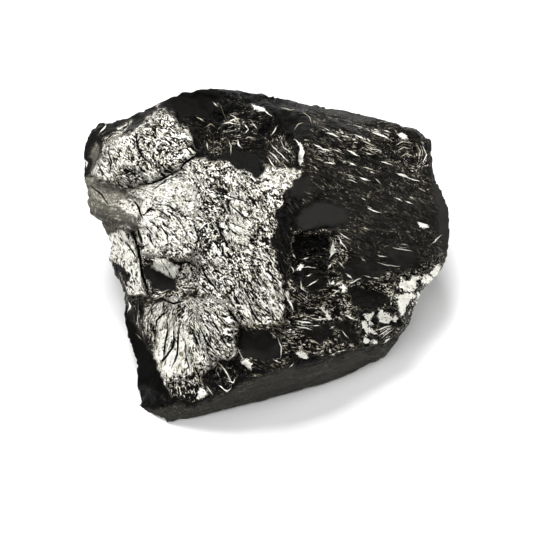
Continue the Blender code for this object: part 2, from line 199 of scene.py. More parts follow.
@dataclass(frozen=True)
class Patch:
    """One patch of the broken face.

    The first of its looks is how light it is painted on the whole: a painted shine that stands in
    for the lamps' reflection in the glassy break. contrast is how strongly its shades differ from
    that, and cuts how much of it is crossed by thin black cuts. The fourth look is how much painted
    glints show as thin bright lines, and chipped how much single chips are painted bright as glints.
    polish is how smooth and even it is, and the last look is how light it is painted where it is
    smooth, a painted reflection. angle is the direction of STRAIGHT layers in degrees, and centre is
    where a FAN or ARCS flow starts from. ridges_mm, steps_mm and chips_mm are how high its long fine
    ridges, the edges of its thin layers and its small flat chips are, and edge_mm is how far it blends
    into the patches before it.
    """

    name: str
    corners: Line
    # how light it is painted: a painted shine that stands in for the lamps' reflection
    painted_shine: float
    contrast: float = 0.3
    cuts: float = 0.0
    # painted glints, as thin bright lines
    sparkle: float = 0.0
    # single chips painted bright, as painted glints
    chipped: float = 0.0
    flow: Flow = Flow.STRAIGHT
    angle: float = -20.0
    centre: Pair = (0.0, 0.0)
    ridges_mm: float = 0.0
    steps_mm: float = 0.0
    chips_mm: float = 0.0
    polish: float = 0.0
    # how light a smooth pane is painted: a painted reflection
    painted_sheen: float = 0.2
    edge_mm: float = 0.2


REST = Patch("rest", [], 0.3, sparkle=0.3)  # where the face has no other patch

PATCHES = [
    # The dark right side and the ridge.
    Patch("right side", [(4.6, 22.4), (14, 20.4), (22.6, 17.6), (24, 9), (23.6, 2), (21, -1), (12, -1),
        (9, 3), (6.6, 9), (4.4, 13.6)],
        0.21, 0.2, sparkle=0.65, angle=-17, steps_mm=0.13, polish=0.25, painted_sheen=0.2),
    Patch("right side's lit layers", [(5.6, 17), (8, 18.8), (14, 18.8), (20, 17.2), (20, 14.6), (12, 14),
        (5.6, 13.6)],
        0.23, 0.2, sparkle=0.96, angle=-17, steps_mm=0.16, edge_mm=0.8),
    Patch("right side foot", [(4, 9.4), (12, 10.6), (22.5, 9.5), (23.4, 2), (20, -1.4), (10, -0.6)],
        0.2, 0.22, sparkle=0.42, angle=-15, steps_mm=0.12, polish=0.35, painted_sheen=0.18, edge_mm=1.2),
    Patch("ridge flank", [(2.2, 11), (5, 10.4), (4.2, 5), (3.4, -6.8), (2, -7), (1.2, 1.5), (0.6, 6)],
        0.12, 0.14, sparkle=0.3, angle=-60, ridges_mm=0.08),
    Patch("ridge pane", [(3, 9.4), (3.6, 12.2), (5.8, 12.6), (6.2, 10.6), (5, 9.4)],
        0.2, 0.05, polish=0.75, painted_sheen=0.19, edge_mm=0.6),
    Patch("smooth pane", [(4.2, 4.5), (4, 6.2), (5.3, 8.5), (7.2, 8.8), (10.2, 8), (11, 6.5), (10.3, 5.5),
        (7, 5.3)],
        0.2, 0.05, polish=0.95, painted_sheen=0.19, edge_mm=0.5),
    Patch("side pane", [(16.2, 0.3), (16.4, 2.2), (19.6, 2.6), (20.2, 0.8), (18, -0.2)],
        0.2, 0.05, polish=0.85, painted_sheen=0.19, edge_mm=0.6),
    Patch("swirl", [(16.6, 17.2), (21.4, 17.2), (22.2, 13.6), (19.4, 12.6), (16.8, 14.4)],
        0.22, 0.18, sparkle=0.9, flow=Flow.ARCS, centre=(19.0, 15.4), ridges_mm=0.1, edge_mm=0.8),
    Patch("edge strip", [(22, 17.8), (22.7, 11), (23.2, 8), (23.2, 5), (23.7, 2.4), (25.6, 1.6), (26.4, 6),
        (25, 12)],
        0.25, 0.05, angle=80, polish=0.95, painted_sheen=0.27, edge_mm=0.4),
    Patch("rim strip", [(-2, 24), (-1, 23), (5, 21.5), (10, 20.2), (14.4, 19.4), (15, 21)],
        0.1, 0.26, sparkle=0.16, angle=-13, polish=0.4, painted_sheen=0.16, edge_mm=0.3),
    # The upper hollow.
    Patch("upper hollow", [(-12.4, 20.3), (-11.8, 24.4), (5.4, 23.4), (5.4, 17.5), (4.8, 13.4), (3.2, 11.4),
        (-1.3, 11.4), (-3.5, 12.8), (-6, 14), (-9.2, 14.7), (-10.6, 17.5), (-11.7, 19.3)],
        0.05, 0.15, sparkle=0.4, flow=Flow.ARCS, centre=(-5.0, 27.0), ridges_mm=0.04),
    Patch("hollow's speckle", [(-8.6, 19.2), (-6, 20.6), (-3, 21.2), (-1.2, 20.2), (-1, 17), (-5, 16),
        (-9, 16.4)],
        0.1, 0.2, sparkle=0.9, flow=Flow.ARCS, centre=(-3.0, 14.0), ridges_mm=0.05, edge_mm=0.8),
    Patch("hollow's ripples", [(-8.2, 18.2), (-6.4, 18.6), (-5.4, 17.2), (-5.4, 15.4), (-7, 14.9),
        (-8.4, 16)],
        0.2, 0.34, sparkle=0.75, flow=Flow.ARCS, centre=(-11.5, 17.4), ridges_mm=0.06, edge_mm=0.4),
    # A patch painted dark as the shadow beside the crest: a painted shadow.
    Patch("crest shadow", [(0.6, 21.4), (5.2, 21), (6.4, 19), (5.4, 17.4), (3.6, 18), (1.6, 19.4)],
        0.02, 0.05, sparkle=0.075, ridges_mm=0.03, polish=0.5, painted_sheen=0.06),
    Patch("hollow's lower wall", [(-7.4, 14.8), (-5, 15.4), (-2, 15.2), (-0.6, 13.8), (-0.9, 12.2),
        (-1.4, 11.4), (-3.2, 12.8), (-6, 14)],
        0.04, 0.05, ridges_mm=0.03, polish=0.7, painted_sheen=0.08),
    Patch("upper left pane", [(-14.6, 21.8), (-12.6, 24.2), (-6.6, 24.6), (-6.4, 21.8), (-8, 20.2),
        (-11.6, 20.6)],
        0.02, 0.05, ridges_mm=0.02, polish=0.95, painted_sheen=0.05),
    Patch("feather", [(-0.4, 17.6), (2.2, 18), (4, 16.4), (4.2, 14), (2.6, 13.4), (0, 13.8)],
        0.17, 0.23, sparkle=0.98, angle=-50, ridges_mm=0.1),
    # The upper left lobe and its bevel.
    Patch("left bevel", [(-26, 11.8), (-25.4, 18.4), (-20, 20.8), (-15.2, 22.8), (-15.2, 21.2),
        (-17.4, 19.2), (-20.6, 17.7), (-22.2, 16.6), (-23.2, 14.2), (-23.9, 12.2)],
        0.06, 0.2, sparkle=0.6, angle=28, ridges_mm=0.05, polish=0.6, painted_sheen=0.1),
    Patch("bevel's crest", [(-22.6, 17.4), (-21.4, 17.9), (-20, 18.7), (-19.2, 19.2), (-18.4, 20.2),
        (-18, 19.8), (-18.7, 18.6), (-19.6, 18), (-21, 17.2), (-22.2, 16.5)],
        1.06, 0.55, cuts=1.0, angle=28, ridges_mm=0.06, edge_mm=0.3),
    Patch("bevel's face", [(-24.4, 12.2), (-23.8, 13.8), (-23.7, 15.2), (-23.9, 16.4), (-23.2, 17),
        (-22.6, 16.2), (-22.3, 15.3), (-22.7, 14.3), (-23.4, 13.1), (-23.8, 12)],
        0.36, 0.35, cuts=0.3, angle=70, ridges_mm=0.03, polish=0.75, painted_sheen=0.47, edge_mm=0.3),
    Patch("upper left lobe", [(-23.9, 12.4), (-22.6, 14.2), (-21.8, 16.4), (-20.2, 17.4), (-18, 18.2),
        (-16.8, 19.4), (-15.4, 21), (-13.8, 21.4), (-12.6, 20.2), (-11.2, 19), (-10.3, 17.2), (-9.2, 15.2),
        (-12.3, 12.9), (-15.3, 11.3), (-20, 10.4)],
        1.1, 0.76, cuts=1.05, angle=-42, ridges_mm=0.09),
    Patch("lobe's bright end", [(-23.9, 12.4), (-22.6, 14.2), (-21.8, 16.4), (-20.2, 17.4), (-18.4, 17.2),
        (-17.4, 15), (-18.4, 13.4), (-18.2, 11.4), (-20, 10.8)],
        1.3, 0.46, cuts=0.9, angle=-42, ridges_mm=0.08, edge_mm=0.5),
    Patch("lobe's dark hollow", [(-20, 13.6), (-18.4, 13.4), (-16.8, 12.6), (-16.4, 11.6), (-18, 11.2),
        (-19.8, 11.8)],
        0.9, 0.8, cuts=1.2, angle=-30, ridges_mm=0.1, edge_mm=0.6),
    # The slab that leans left.
    Patch("slab", [(-16.6, 9.8), (-10, 14.8), (-8.8, 14.5), (-5.4, 13.9), (-3.2, 13), (-1.3, 11.7),
        (-0.5, 12.6), (0.2, 13.4), (3.4, 12.8), (2.6, 10.6), (1.4, 7), (0.8, 2), (2.2, -2), (2.2, -6.2),
        (0.6, -7.6), (-3.6, -7.6), (-5.2, -5.2), (-9, -3.4), (-9, 0.6), (-16.6, 1.8)],
        1.2, 0.8, cuts=1.05, angle=-52, ridges_mm=0.13),
    Patch("slab's dark band", [(-9, 14.2), (-6, 13.8), (-4.6, 9), (-5, 3), (-7.6, -3), (-9, -3), (-8.6, 3),
        (-9.6, 6), (-8.4, 10)],
        1.03, 0.76, cuts=1.2, angle=-50, ridges_mm=0.14, edge_mm=1.0),
    Patch("slab's root", [(-18.6, 10.4), (-14.4, 11.4), (-11.4, 12.2), (-9.4, 9.8), (-9.6, 5), (-13, 2),
        (-17, 1.8), (-17.4, 5)],
        1.46, 0.33, cuts=1.0, flow=Flow.FAN, centre=(-20.0, 10.4), ridges_mm=0.08, edge_mm=0.8),
    Patch("slab's white steps", [(-4.8, 8.6), (-2.4, 9), (-1.6, 5), (-2.8, 1.8), (-4.8, 3)],
        1.28, 0.4, cuts=0.6, angle=-48, ridges_mm=0.1, edge_mm=0.6),
    Patch("bright crest", [(-0.3, 13.4), (1, 13.6), (4.4, 13), (4.2, 11.8), (2.8, 10.4), (0.8, 9.8),
        (-0.8, 10.8)],
        1.28, 0.5, cuts=0.7, angle=-58, ridges_mm=0.1),
    Patch("slab's dim notch", [(-2.4, -4.6), (-1.4, -4.4), (0.2, -7.4), (-1, -8.2), (-2.2, -6.4)],
        0.84, 0.45, cuts=0.6, angle=-58, ridges_mm=0.06, edge_mm=0.4),
    Patch("slab's tip", [(0.6, -3.6), (2.3, -4), (2.2, -7.4), (0.8, -7.6), (0.2, -6)],
        1.28, 0.5, cuts=0.7, angle=-66, ridges_mm=0.08, edge_mm=0.3),
    # The shoulder on the left.
    Patch("shoulder", [(-25.6, 12), (-20.5, 11.2), (-18.6, 10), (-16.8, 9), (-16.8, 6), (-18, 5.2),
        (-20.6, 4.8), (-22.6, 4.4), (-25.6, 7)],
        0.55, 0.45, cuts=0.5, angle=-30, ridges_mm=0.03, polish=0.6, painted_sheen=0.5),
    Patch("shoulder's top", [(-24.2, 11.4), (-22, 10.8), (-19.2, 9.4), (-18.4, 9.2), (-21.4, 8.5),
        (-23.4, 9.6)],
        0.9, 0.45, cuts=0.8, angle=-34, ridges_mm=0.03, polish=0.5, painted_sheen=0.8, edge_mm=0.25),
    Patch("shoulder's crest", [(-21.6, 8.5), (-19.6, 9.1), (-18.2, 9.4), (-16.8, 8.8), (-16.6, 6.9),
        (-17.2, 6.3), (-18.6, 7), (-20.4, 7.9)],
        1.36, 0.35, cuts=0.4, flow=Flow.FAN, centre=(-22.6, 9.9), ridges_mm=0.04, edge_mm=0.35),
    Patch("shoulder's foot", [(-25.6, 8.4), (-23.4, 8.2), (-21.4, 7.4), (-18.8, 6.2), (-17, 5.2), (-20, 4),
        (-25.6, 4.2)],
        0.5, 0.4, cuts=0.4, angle=-30, ridges_mm=0.03, polish=0.65, painted_sheen=0.44, edge_mm=0.25),
    Patch("left lobe", [(-22.4, 3.4), (-20.4, 5), (-18.2, 4.8), (-17.4, 2.4), (-16.9, -1), (-16.2, -4.4),
        (-18, -4), (-20, -1), (-21.6, 1)],
        1.56, 0.5, cuts=0.9, angle=-66, ridges_mm=0.08),
    Patch("lobe's grey edge", [(-21.6, 1.2), (-20.4, 0.5), (-19.4, -0.1), (-18.8, -0.7), (-18.5, -1.5),
        (-18.7, -2.6), (-18.6, -3.6), (-18.8, -4.4), (-21, -1)],
        0.26, 0.5, cuts=0.8, angle=-66, ridges_mm=0.06, edge_mm=0.2),
    # The pit.
    Patch("pit", [(-16.8, 1.5), (-12.4, 0.5), (-9.6, 0.9), (-8.8, 1.4), (-8.6, -0.6), (-9.2, -3.2),
        (-12, -4.6), (-15.6, -4), (-16.6, -2)],
        0.55, 0.85, sparkle=1.1, angle=-35, ridges_mm=0.08),
    Patch("pit's floor", [(-16.4, 0.6), (-15.2, -0.2), (-13.4, -1.2), (-12.2, -2.2), (-12, -3.4),
        (-13.6, -3.8), (-15.2, -2.8), (-16.2, -1.4)],
        0.04, 0.05, ridges_mm=0.02, polish=0.85, painted_sheen=0.12),
    Patch("pit's tongue", [(-15.2, 1.3), (-13.2, 0.8), (-12, -0.1), (-11.9, -1.4), (-12.7, -1.6),
        (-14, -0.8), (-15.3, -0.1)],
        2.3, 0.9, cuts=0.5, angle=-40, ridges_mm=0.06, edge_mm=0.12),
    # The fan at the foot.
    Patch("fan", [(-16.4, -5.2), (-13.6, -4.7), (-10, -4.2), (-5, -4.6), (-3.8, -7), (-4.4, -9),
        (-3.4, -11.6), (-4.8, -12.4), (-7, -12.8), (-8.4, -14.2), (-9.4, -16), (-9.6, -17.6), (-13, -17.4),
        (-13.8, -15.4), (-15.2, -12.6), (-15, -9.6), (-16.2, -9)],
        1.2, 0.55, cuts=0.8, flow=Flow.FAN, centre=(-12.6, -1.6), ridges_mm=0.1),
    Patch("fan's white layers", [(-14.8, -8), (-13.4, -6.2), (-12.2, -6), (-12, -8), (-10.4, -8.8),
        (-10.2, -14.4), (-13.6, -14.8), (-15, -12.4)],
        1.34, 0.34, cuts=0.35, flow=Flow.FAN, centre=(-12.6, -1.6), ridges_mm=0.08, edge_mm=0.4),
    Patch("fan's olive top", [(-12.2, -5.8), (-11, -5.2), (-9.4, -5.8), (-10, -7.4), (-12, -7.9)],
        0.86, 0.5, cuts=0.9, flow=Flow.FAN, centre=(-8.6, -4.6), ridges_mm=0.06, edge_mm=0.5),
    Patch("fan's right", [(-9.6, -4.6), (-5, -4.8), (-3.8, -7), (-4.4, -9), (-4.2, -11.2), (-7.6, -13),
        (-8.6, -9)],
        1.38, 0.84, cuts=1.15, flow=Flow.FAN, centre=(-13.6, -1.6), ridges_mm=0.11, edge_mm=0.9),
    Patch("fan's left edge", [(-15.7, -7), (-15, -7.6), (-14.9, -9.8), (-15.4, -10.4), (-16, -9.4)],
        0.5, 0.5, cuts=0.6, angle=-80, ridges_mm=0.05),
    Patch("fan's foot", [(-13.4, -15.4), (-10.2, -15.2), (-8.6, -16), (-7.4, -17), (-9.6, -18),
        (-13.2, -17.6)],
        0.42, 0.8, cuts=0.9, sparkle=0.6, angle=-70, chips_mm=0.16, edge_mm=0.4),
    Patch("broken corner", [(-8.6, -14.4), (-6.2, -12.9), (-4.8, -12.4), (-3.2, -11.8), (-2.2, -14.4),
        (-4.6, -16.4), (-7.4, -16.8)],
        0.09, 0.16, sparkle=0.6, angle=-55, chips_mm=0.2, edge_mm=0.3),
    Patch("left flank", [(-21, -0.8), (-18.6, -3.6), (-16.6, -5), (-16.7, -8), (-15.4, -11), (-17, -11.6),
        (-20.4, -8)],
        0.16, 0.2, sparkle=0.52, angle=-75, ridges_mm=0.07),
    Patch("dark flank", [(-20, -6.4), (-18.2, -7), (-16.6, -9.4), (-15.2, -12.6), (-14.5, -14),
        (-13.6, -15.8), (-13.1, -17.8), (-18.4, -19.6), (-18.6, -12)],
        0.02, 0.05, sparkle=0.038, angle=-75, ridges_mm=0.02, polish=0.95, painted_sheen=0.02),
    Patch("toe", [(-17.8, -16.4), (-16.2, -16.2), (-13.4, -17.6), (-9.6, -18), (-7, -17.2), (-9.4, -18.6),
        (-17.4, -18.8)],
        0.04, 0.09, sparkle=0.52, angle=10, ridges_mm=0.05, edge_mm=0.4),
    Patch("dark pane", [(-3.9, -7.8), (-2, -9.1), (0.6, -8.7), (1.9, -10.2), (1.6, -12.9), (-0.8, -12.4),
        (-3, -12.1)],
        0.02, 0.05, angle=-30, polish=0.9, painted_sheen=0.15),
    # The chipped corner at the lower right.
    Patch("chipped corner", [(3.4, 4.6), (9, 5), (12, 0.4), (18, -1), (23.6, 1.2), (22, -4), (17.6, -10.6),
        (12.6, -11), (4, -13), (1.4, -13.4), (2.4, -8), (2.6, -2)],
        0.31, 0.48, sparkle=1.05, angle=-15, chips_mm=0.2),
    Patch("chips at the ridge", [(2.4, -3.2), (3.6, -3.6), (4.2, -6), (2.6, -7.2)],
        0.2, 0.23, sparkle=0.68, chipped=0.8, angle=-60, chips_mm=0.16),
    Patch("pocket", [(3.4, -2.6), (3.2, 1), (3.6, 4), (8.4, 4.4), (8.6, 2), (8, -2)],
        0.07, 0.16, sparkle=0.38, flow=Flow.ARCS, centre=(6.0, -3.0), chips_mm=0.16),
    Patch("corner's round facet", [(5.2, -1.6), (6.4, -1.3), (7.7, -1.7), (7.9, -2.7), (6.8, -3.3),
        (5.5, -2.9)],
        0.06, 0.1, sparkle=0.2, flow=Flow.ARCS, centre=(6.4, -2.2), polish=0.7, painted_sheen=0.08, ridges_mm=0.1),
    Patch("corner's upper facet", [(9.2, -0.2), (12.6, 1.2), (16.4, 0.2), (14.6, -1.8), (11.2, -1.9)],
        0.16, 0.1, sparkle=0.3, angle=-12, polish=0.7, painted_sheen=0.17, edge_mm=0.4, ridges_mm=0.1),
    Patch("corner's wide facet", [(4.6, -7.8), (6.4, -7.2), (8.4, -7.6), (8.6, -9.2), (7.4, -10),
        (5.2, -9.6)],
        0.1, 0.14, sparkle=0.35, angle=-20, polish=0.6, painted_sheen=0.12, ridges_mm=0.1),
    Patch("corner's narrow facet", [(9.2, -7.8), (10.8, -7.4), (11.4, -8.4), (12.2, -9.2), (12, -10.6),
        (10.2, -9.6)],
        0.07, 0.1, sparkle=0.2, angle=-50, polish=0.7, painted_sheen=0.1, ridges_mm=0.1),
    Patch("brown pocket", [(10.6, -2.8), (14, -3), (16.6, -4.4), (14.6, -5.8), (11.6, -5.2)],
        0.12, 0.14, sparkle=0.15, angle=-10, ridges_mm=0.05, polish=0.3, painted_sheen=0.2),
    Patch("edge chips", [(17.4, -1.4), (21.6, -0.8), (23.8, 0.4), (24.6, -1), (22.6, -4.4), (20, -8.4),
        (18.4, -8.6), (16.6, -7)],
        0.16, 0.5, sparkle=1.1, chipped=0.7, angle=-50, chips_mm=0.12),
    Patch("foot chips", [(12.2, -6), (17.6, -5.4), (18.2, -8), (15, -10.6), (12.4, -10)],
        0.17, 0.23, sparkle=0.68, angle=-40, chips_mm=0.14, edge_mm=0.4),
    Patch("foot's ledge", [(2.4, -12.2), (8, -11.8), (12.6, -10.8), (17.4, -9.4), (17.6, -11), (12, -12),
        (3, -14)],
        0.19, 0.14, sparkle=0.22, angle=8, ridges_mm=0.04, edge_mm=0.4),
    Patch("foot wall", [(18.4, -8.8), (16.4, -10.6), (12.5, -11.3), (9, -12.5), (4, -13.4), (1, -14.1),
        (-2, -15), (-4.5, -16.2), (-6.5, -17.4), (-9.5, -18.4), (-13, -18.9), (-18.4, -18.9), (-14, -22.6),
        (12, -16)],
        0.24, 0.3, sparkle=0.16, angle=13, steps_mm=0.06, polish=0.75, painted_sheen=0.39, edge_mm=0.3),
]

# Painted reflections: small flat facets of the break, painted bright as if they mirror the lamps, by their
# corners.
PAINTED_REFLECTION_PLATES = [
    [(17.8, -2.8), (18.1, -1.9), (19, -2), (19.8, -1.4), (20.6, -1.4), (20.8, -1.6), (20, -1.9),
     (20.1, -2.8), (19.7, -3.4), (18.8, -3.3), (18.4, -3.2)],
    [(17.5, -4), (18.9, -3.6), (19.9, -3.7), (20, -4), (19.3, -4.4), (19.1, -4.9), (18.7, -5.3), (18.6, -6),
     (18.1, -6.6), (17.9, -6.4), (17.7, -5)],
    [(21, -1.3), (21.6, -1.1), (22.2, -1.4), (22.8, -2), (22.7, -2.3), (22, -2.2), (21.4, -2.3),
     (20.9, -2.1)],
    [(22, -1), (22.4, -0.6), (22.8, 0.1), (23.5, 0), (23.2, -0.7), (22.9, -1.1), (22.5, -1.3)],
    [(21.1, -2.9), (21.6, -2.7), (22.4, -2.7), (22.5, -2.9), (22, -3.1), (21.6, -3.3)],
    [(20, -4.7), (20.6, -4.8), (21.2, -4.2), (21.4, -4.4), (20.8, -5), (20.1, -5)],
    [(20.2, -3.5), (20.5, -3.5), (20.7, -4), (20.6, -4.5), (20.3, -4.3)],
    [(19.9, -5.5), (20.5, -5.4), (20.4, -5.9), (20, -5.9)],
    [(19.5, -6.6), (20.1, -5.9), (20.3, -6.1), (19.8, -6.9)],
    [(15.1, -5.8), (16, -6.1), (16.8, -6.7), (17.2, -7.2), (16.2, -7.6), (15.2, -7.5), (15, -6.6)],
    [(17, -7.3), (17.3, -6.6), (17.7, -6.8), (17.4, -7.4)],
    [(12.7, -7.5), (13.2, -7.3), (13.6, -8), (14.1, -8.4), (14.8, -9), (14.5, -9.2), (14, -8.9),
     (13.6, -8.9), (13.4, -9.4), (13.2, -8.7), (12.9, -8.2)],
    [(13, -6.4), (13.7, -6.3), (14.5, -6.1), (14.2, -6.7), (13.9, -7.1), (14.3, -7.8), (14, -8),
     (13.6, -7.3), (13.3, -6.8)],
    [(13.3, -9.5), (13.8, -9.8), (13.9, -10.2), (13.2, -10.2), (12.9, -9.9)],
    [(14.1, -9.8), (14.8, -10), (14.8, -10.3), (14.2, -10.3)],
    [(4, -11.5), (4.6, -11.3), (5.6, -11.8), (5.3, -12.3), (4.5, -12.1)],
    [(20.5, 6), (20.8, 5.9), (21.8, 5.5), (21.5, 5.2), (20.7, 5.3)],
    [(18, 17.9), (18.6, 18.1), (19.1, 17.7), (18.8, 17.3), (18.2, 17.5)],
    [(4.4, 16.6), (4.8, 16.4), (5, 15.4), (4.9, 14.2), (4.6, 13.6), (4.4, 14.6), (4.6, 15.6)],
    [(4.2, 0), (4.6, 0.3), (4.9, 0.1), (4.6, -0.4), (4.2, -0.5)],
    [(9, 3.4), (9.1, 2.6), (9.4, 2.2), (8.8, 1.6), (8.5, 1.9)],
    [(-1.9, 21.9), (-1.2, 21.6), (-0.6, 21.6), (-0.2, 21.2), (-1, 21.1), (-1.6, 21.3)],
    [(-3.2, -12.7), (-2.6, -12.5), (-1.9, -13), (-2.3, -13.7), (-2.8, -13.3)],
    [(-8.6, -16.2), (-8, -17), (-8.4, -17.5), (-9.6, -17.8), (-9, -17.2), (-9, -16.8)],
    [(10.3, -2.5), (10.6, -2.9), (10.3, -3.5), (10, -3.2)],
    [(8, -5.9), (8.3, -6.4), (8.7, -6.9), (8.3, -7.1), (8, -6.6)],
]


@dataclass(frozen=True)
class Seam:
    """A thin line on the broken face, through the given places.

    tone is below 0 for a black crack and above 0 for a painted glint, a bright line painted where an
    edge catches the light, and its size says how strong the line is. A crack is sunk by depth_mm.
    """

    places: Line
    width_mm: float = 0.16
    tone: float = 1.0
    depth_mm: float = 0.0


CRACKS = [
    # The upper left lobe.
    Seam([(-9.2, 15), (-10.1, 14.7), (-10.8, 14.2), (-11.4, 13.6), (-11.7, 13)], 0.3, -1, 0.3),
    Seam([(-11.9, 12.9), (-13.3, 12.3), (-14.6, 11.6), (-15.6, 11.2), (-17.2, 11.1)], 0.24, -1, 0.25),
    Seam([(-11.4, 12.4), (-13.2, 11.8), (-14.4, 11), (-15.4, 10.4)], 0.18, -1, 0.15),
    Seam([(-17.8, 18.2), (-17.6, 17), (-17.2, 15.6), (-16.6, 14.7), (-15.9, 14)], 0.32, -1, 0.3),
    Seam([(-21.3, 16.6), (-21.4, 15.4), (-21, 14.2), (-21.2, 12.6)], 0.2, -1, 0.15),
    Seam([(-22.8, 14), (-22.4, 12.8), (-22.2, 12.2)], 0.18, -1, 0.15),
    Seam([(-20.2, 12.4), (-18.9, 12.6), (-17.8, 13.2)], 0.15, -1, 0.1),
    Seam([(-19.4, 15.2), (-18.4, 14.4), (-17.6, 14.4)], 0.14, -0.9, 0.1),
    Seam([(-20.2, 11.6), (-19.2, 10.6), (-17.6, 10.6), (-16.2, 10.2)], 0.14, -0.8, 0.1),
    # The shoulder and the slab.
    Seam([(-23.7, 10.9), (-22.4, 9.8), (-21.4, 8.4)], 0.18, -1, 0.12),
    Seam([(-17.8, 8.7), (-17.2, 7.8), (-16.8, 6.3)], 0.26, -1, 0.25),
    Seam([(-18.1, 4.8), (-17.4, 2.6), (-17, 0.8), (-16.8, -1), (-16, -3.6)], 0.42, -1, 0.35),
    Seam([(-19, 3.4), (-18.2, 2.2), (-17.6, 1.2)], 0.22, -0.6, 0.1),
    Seam([(-15, 8.4), (-13.2, 8.2), (-11.6, 7.4), (-10.2, 6.6)], 0.13, -0.8, 0.1),
    Seam([(-16.4, 7.1), (-15.6, 7.8), (-14.9, 7.5)], 0.34, -0.9, 0.1),
    Seam([(-14.8, 7.8), (-14.2, 7.4), (-13.5, 6.9), (-12.9, 6.4)], 0.22, -0.9),
    Seam([(-12.9, 7.8), (-11.8, 7.2), (-11.1, 6.8), (-10.5, 6.2)], 0.16, -0.9),
    Seam([(-14.2, 5.4), (-13.6, 4.7)], 0.16, -1),
    Seam([(-17.3, 5.1), (-17, 4.1), (-16.7, 3.2)], 0.3, -0.7),
    Seam([(-17.3, 2.9), (-16.7, 2.6), (-16.1, 2.9)], 0.28, -0.9),
    Seam([(-15.8, 4.4), (-15.6, 3.6), (-15.2, 2.9)], 0.26, -0.9),
    Seam([(-16.2, 5.3), (-15.7, 4.8), (-15.3, 4.3)], 0.15, -0.9),
    Seam([(-15.4, 5.9), (-14.8, 5.4), (-14.3, 4.8)], 0.12, -0.8),
    Seam([(-13.4, 2.9), (-13.5, 1.9), (-13.6, 1)], 0.12, -0.7),
    Seam([(-11.8, 2.5), (-11.1, 1.9)], 0.22, -0.9),
    Seam([(-12.8, 4.4), (-12.2, 4.1)], 0.2, -0.9),
    Seam([(-14, 5.2), (-13.4, 4.3), (-13.3, 3.2)], 0.2, -1, 0.15),
    Seam([(-12.4, 7), (-11.2, 5.4), (-10.6, 4)], 0.15, -0.8, 0.1),
    Seam([(-9.9, 6.2), (-9.4, 4.6), (-8.8, 2.8), (-8.4, 1.4)], 0.2, -0.9, 0.15),
    Seam([(-13.2, 0.6), (-11.6, 0.5), (-10.2, 0.6)], 0.26, -1, 0.2),
    Seam([(-6.4, 9.9), (-5, 9.4), (-3.6, 9), (-2.1, 8.4)], 0.18, -1, 0.12),
    Seam([(-6.4, 10.4), (-5.8, 10.1), (-5.2, 9.9)], 0.6, -0.8),
    Seam([(-4.6, 8), (-3.8, 7.4), (-3.2, 6.7), (-2.6, 6.1)], 0.2, -0.9, 0.1),
    Seam([(-5.1, 6), (-4.1, 5.6), (-2.9, 5.1)], 0.15, -0.8, 0.1),
    Seam([(-5.2, 5.2), (-4.1, 4.4), (-3.3, 4)], 0.12, -0.8),
    Seam([(-6.5, 5.3), (-6.1, 5), (-5.6, 5.1)], 0.5, -0.9),
    Seam([(-6.3, 4.8), (-5.7, 3.8), (-5.1, 2.5)], 0.28, -0.9),
    Seam([(-2.5, 9.5), (-1.8, 8.8), (-1.3, 8.1)], 0.32, -0.9),
    Seam([(-2.4, 4.1), (-1.4, 3.4)], 0.2, -0.9),
    Seam([(-2.1, 3.4), (-1.6, 2.9), (-1.1, 2.5)], 0.24, -0.9),
    Seam([(-8.3, 8.7), (-7.5, 8.2)], 0.24, -0.9),
    Seam([(-8.3, 7.8), (-7.5, 7.3)], 0.18, -0.8),
    Seam([(-9, 0.8), (-8, -1.6), (-6.4, -3.6)], 0.3, -0.8, 0.25),
    Seam([(-2.5, -4.6), (-1.9, -6), (-1.3, -7), (-0.4, -7.8)], 0.28, -1, 0.2),
    Seam([(-5.2, -5.6), (-4.4, -6.8), (-3.7, -7.6)], 0.34, -1, 0.25),
    # The fan's long layers.
    Seam([(-13.2, -5.9), (-14.1, -6.6), (-14.7, -7.2), (-14.9, -8.1)], 0.26, -1, 0.2),
    Seam([(-13.4, -7.4), (-13.3, -8.6), (-13.5, -9.8), (-13.7, -10.8), (-13.9, -12.2)], 0.3, -1, 0.25),
    Seam([(-12.4, -7.4), (-12.5, -8.8), (-12.4, -9.9), (-12.7, -11), (-13.4, -12), (-14.1, -13)],
         0.3, -1, 0.28),
    Seam([(-13, -11.3), (-13.5, -12), (-14.1, -12.7)], 0.15, -1, 0.1),
    Seam([(-11.5, -7.6), (-11.9, -8.8), (-11.9, -10.6), (-12.1, -12), (-12.8, -13.6)], 0.26, -1, 0.25),
    Seam([(-11, -9.8), (-10.9, -11.4), (-10.6, -12.8), (-10.3, -14)], 0.2, -0.9, 0.15),
    Seam([(-10.2, -8.4), (-9.5, -9.6), (-9, -10.8)], 0.26, -1, 0.15),
    Seam([(-8.9, -8.2), (-8.2, -9.6), (-7.6, -11)], 0.22, -0.9, 0.12),
    Seam([(-7.6, -6.4), (-6.8, -8), (-5.8, -9.4)], 0.2, -0.8, 0.1),
    Seam([(-15.3, -6.2), (-15.6, -5.6), (-15, -5)], 0.16, -0.8, 0.1),
    Seam([(-13.6, -4.6), (-12.4, -5), (-11.2, -4.6)], 0.3, -1, 0.2),
    Seam([(-9.6, -13.2), (-9.2, -14.4), (-8.9, -15.6)], 0.2, -0.9, 0.12),
    # Under the smooth pane.
    Seam([(3.6, 4.1), (5.4, 4.8), (7.6, 5.2), (9.4, 5.3)], 0.24, -0.9, 0.2),
]
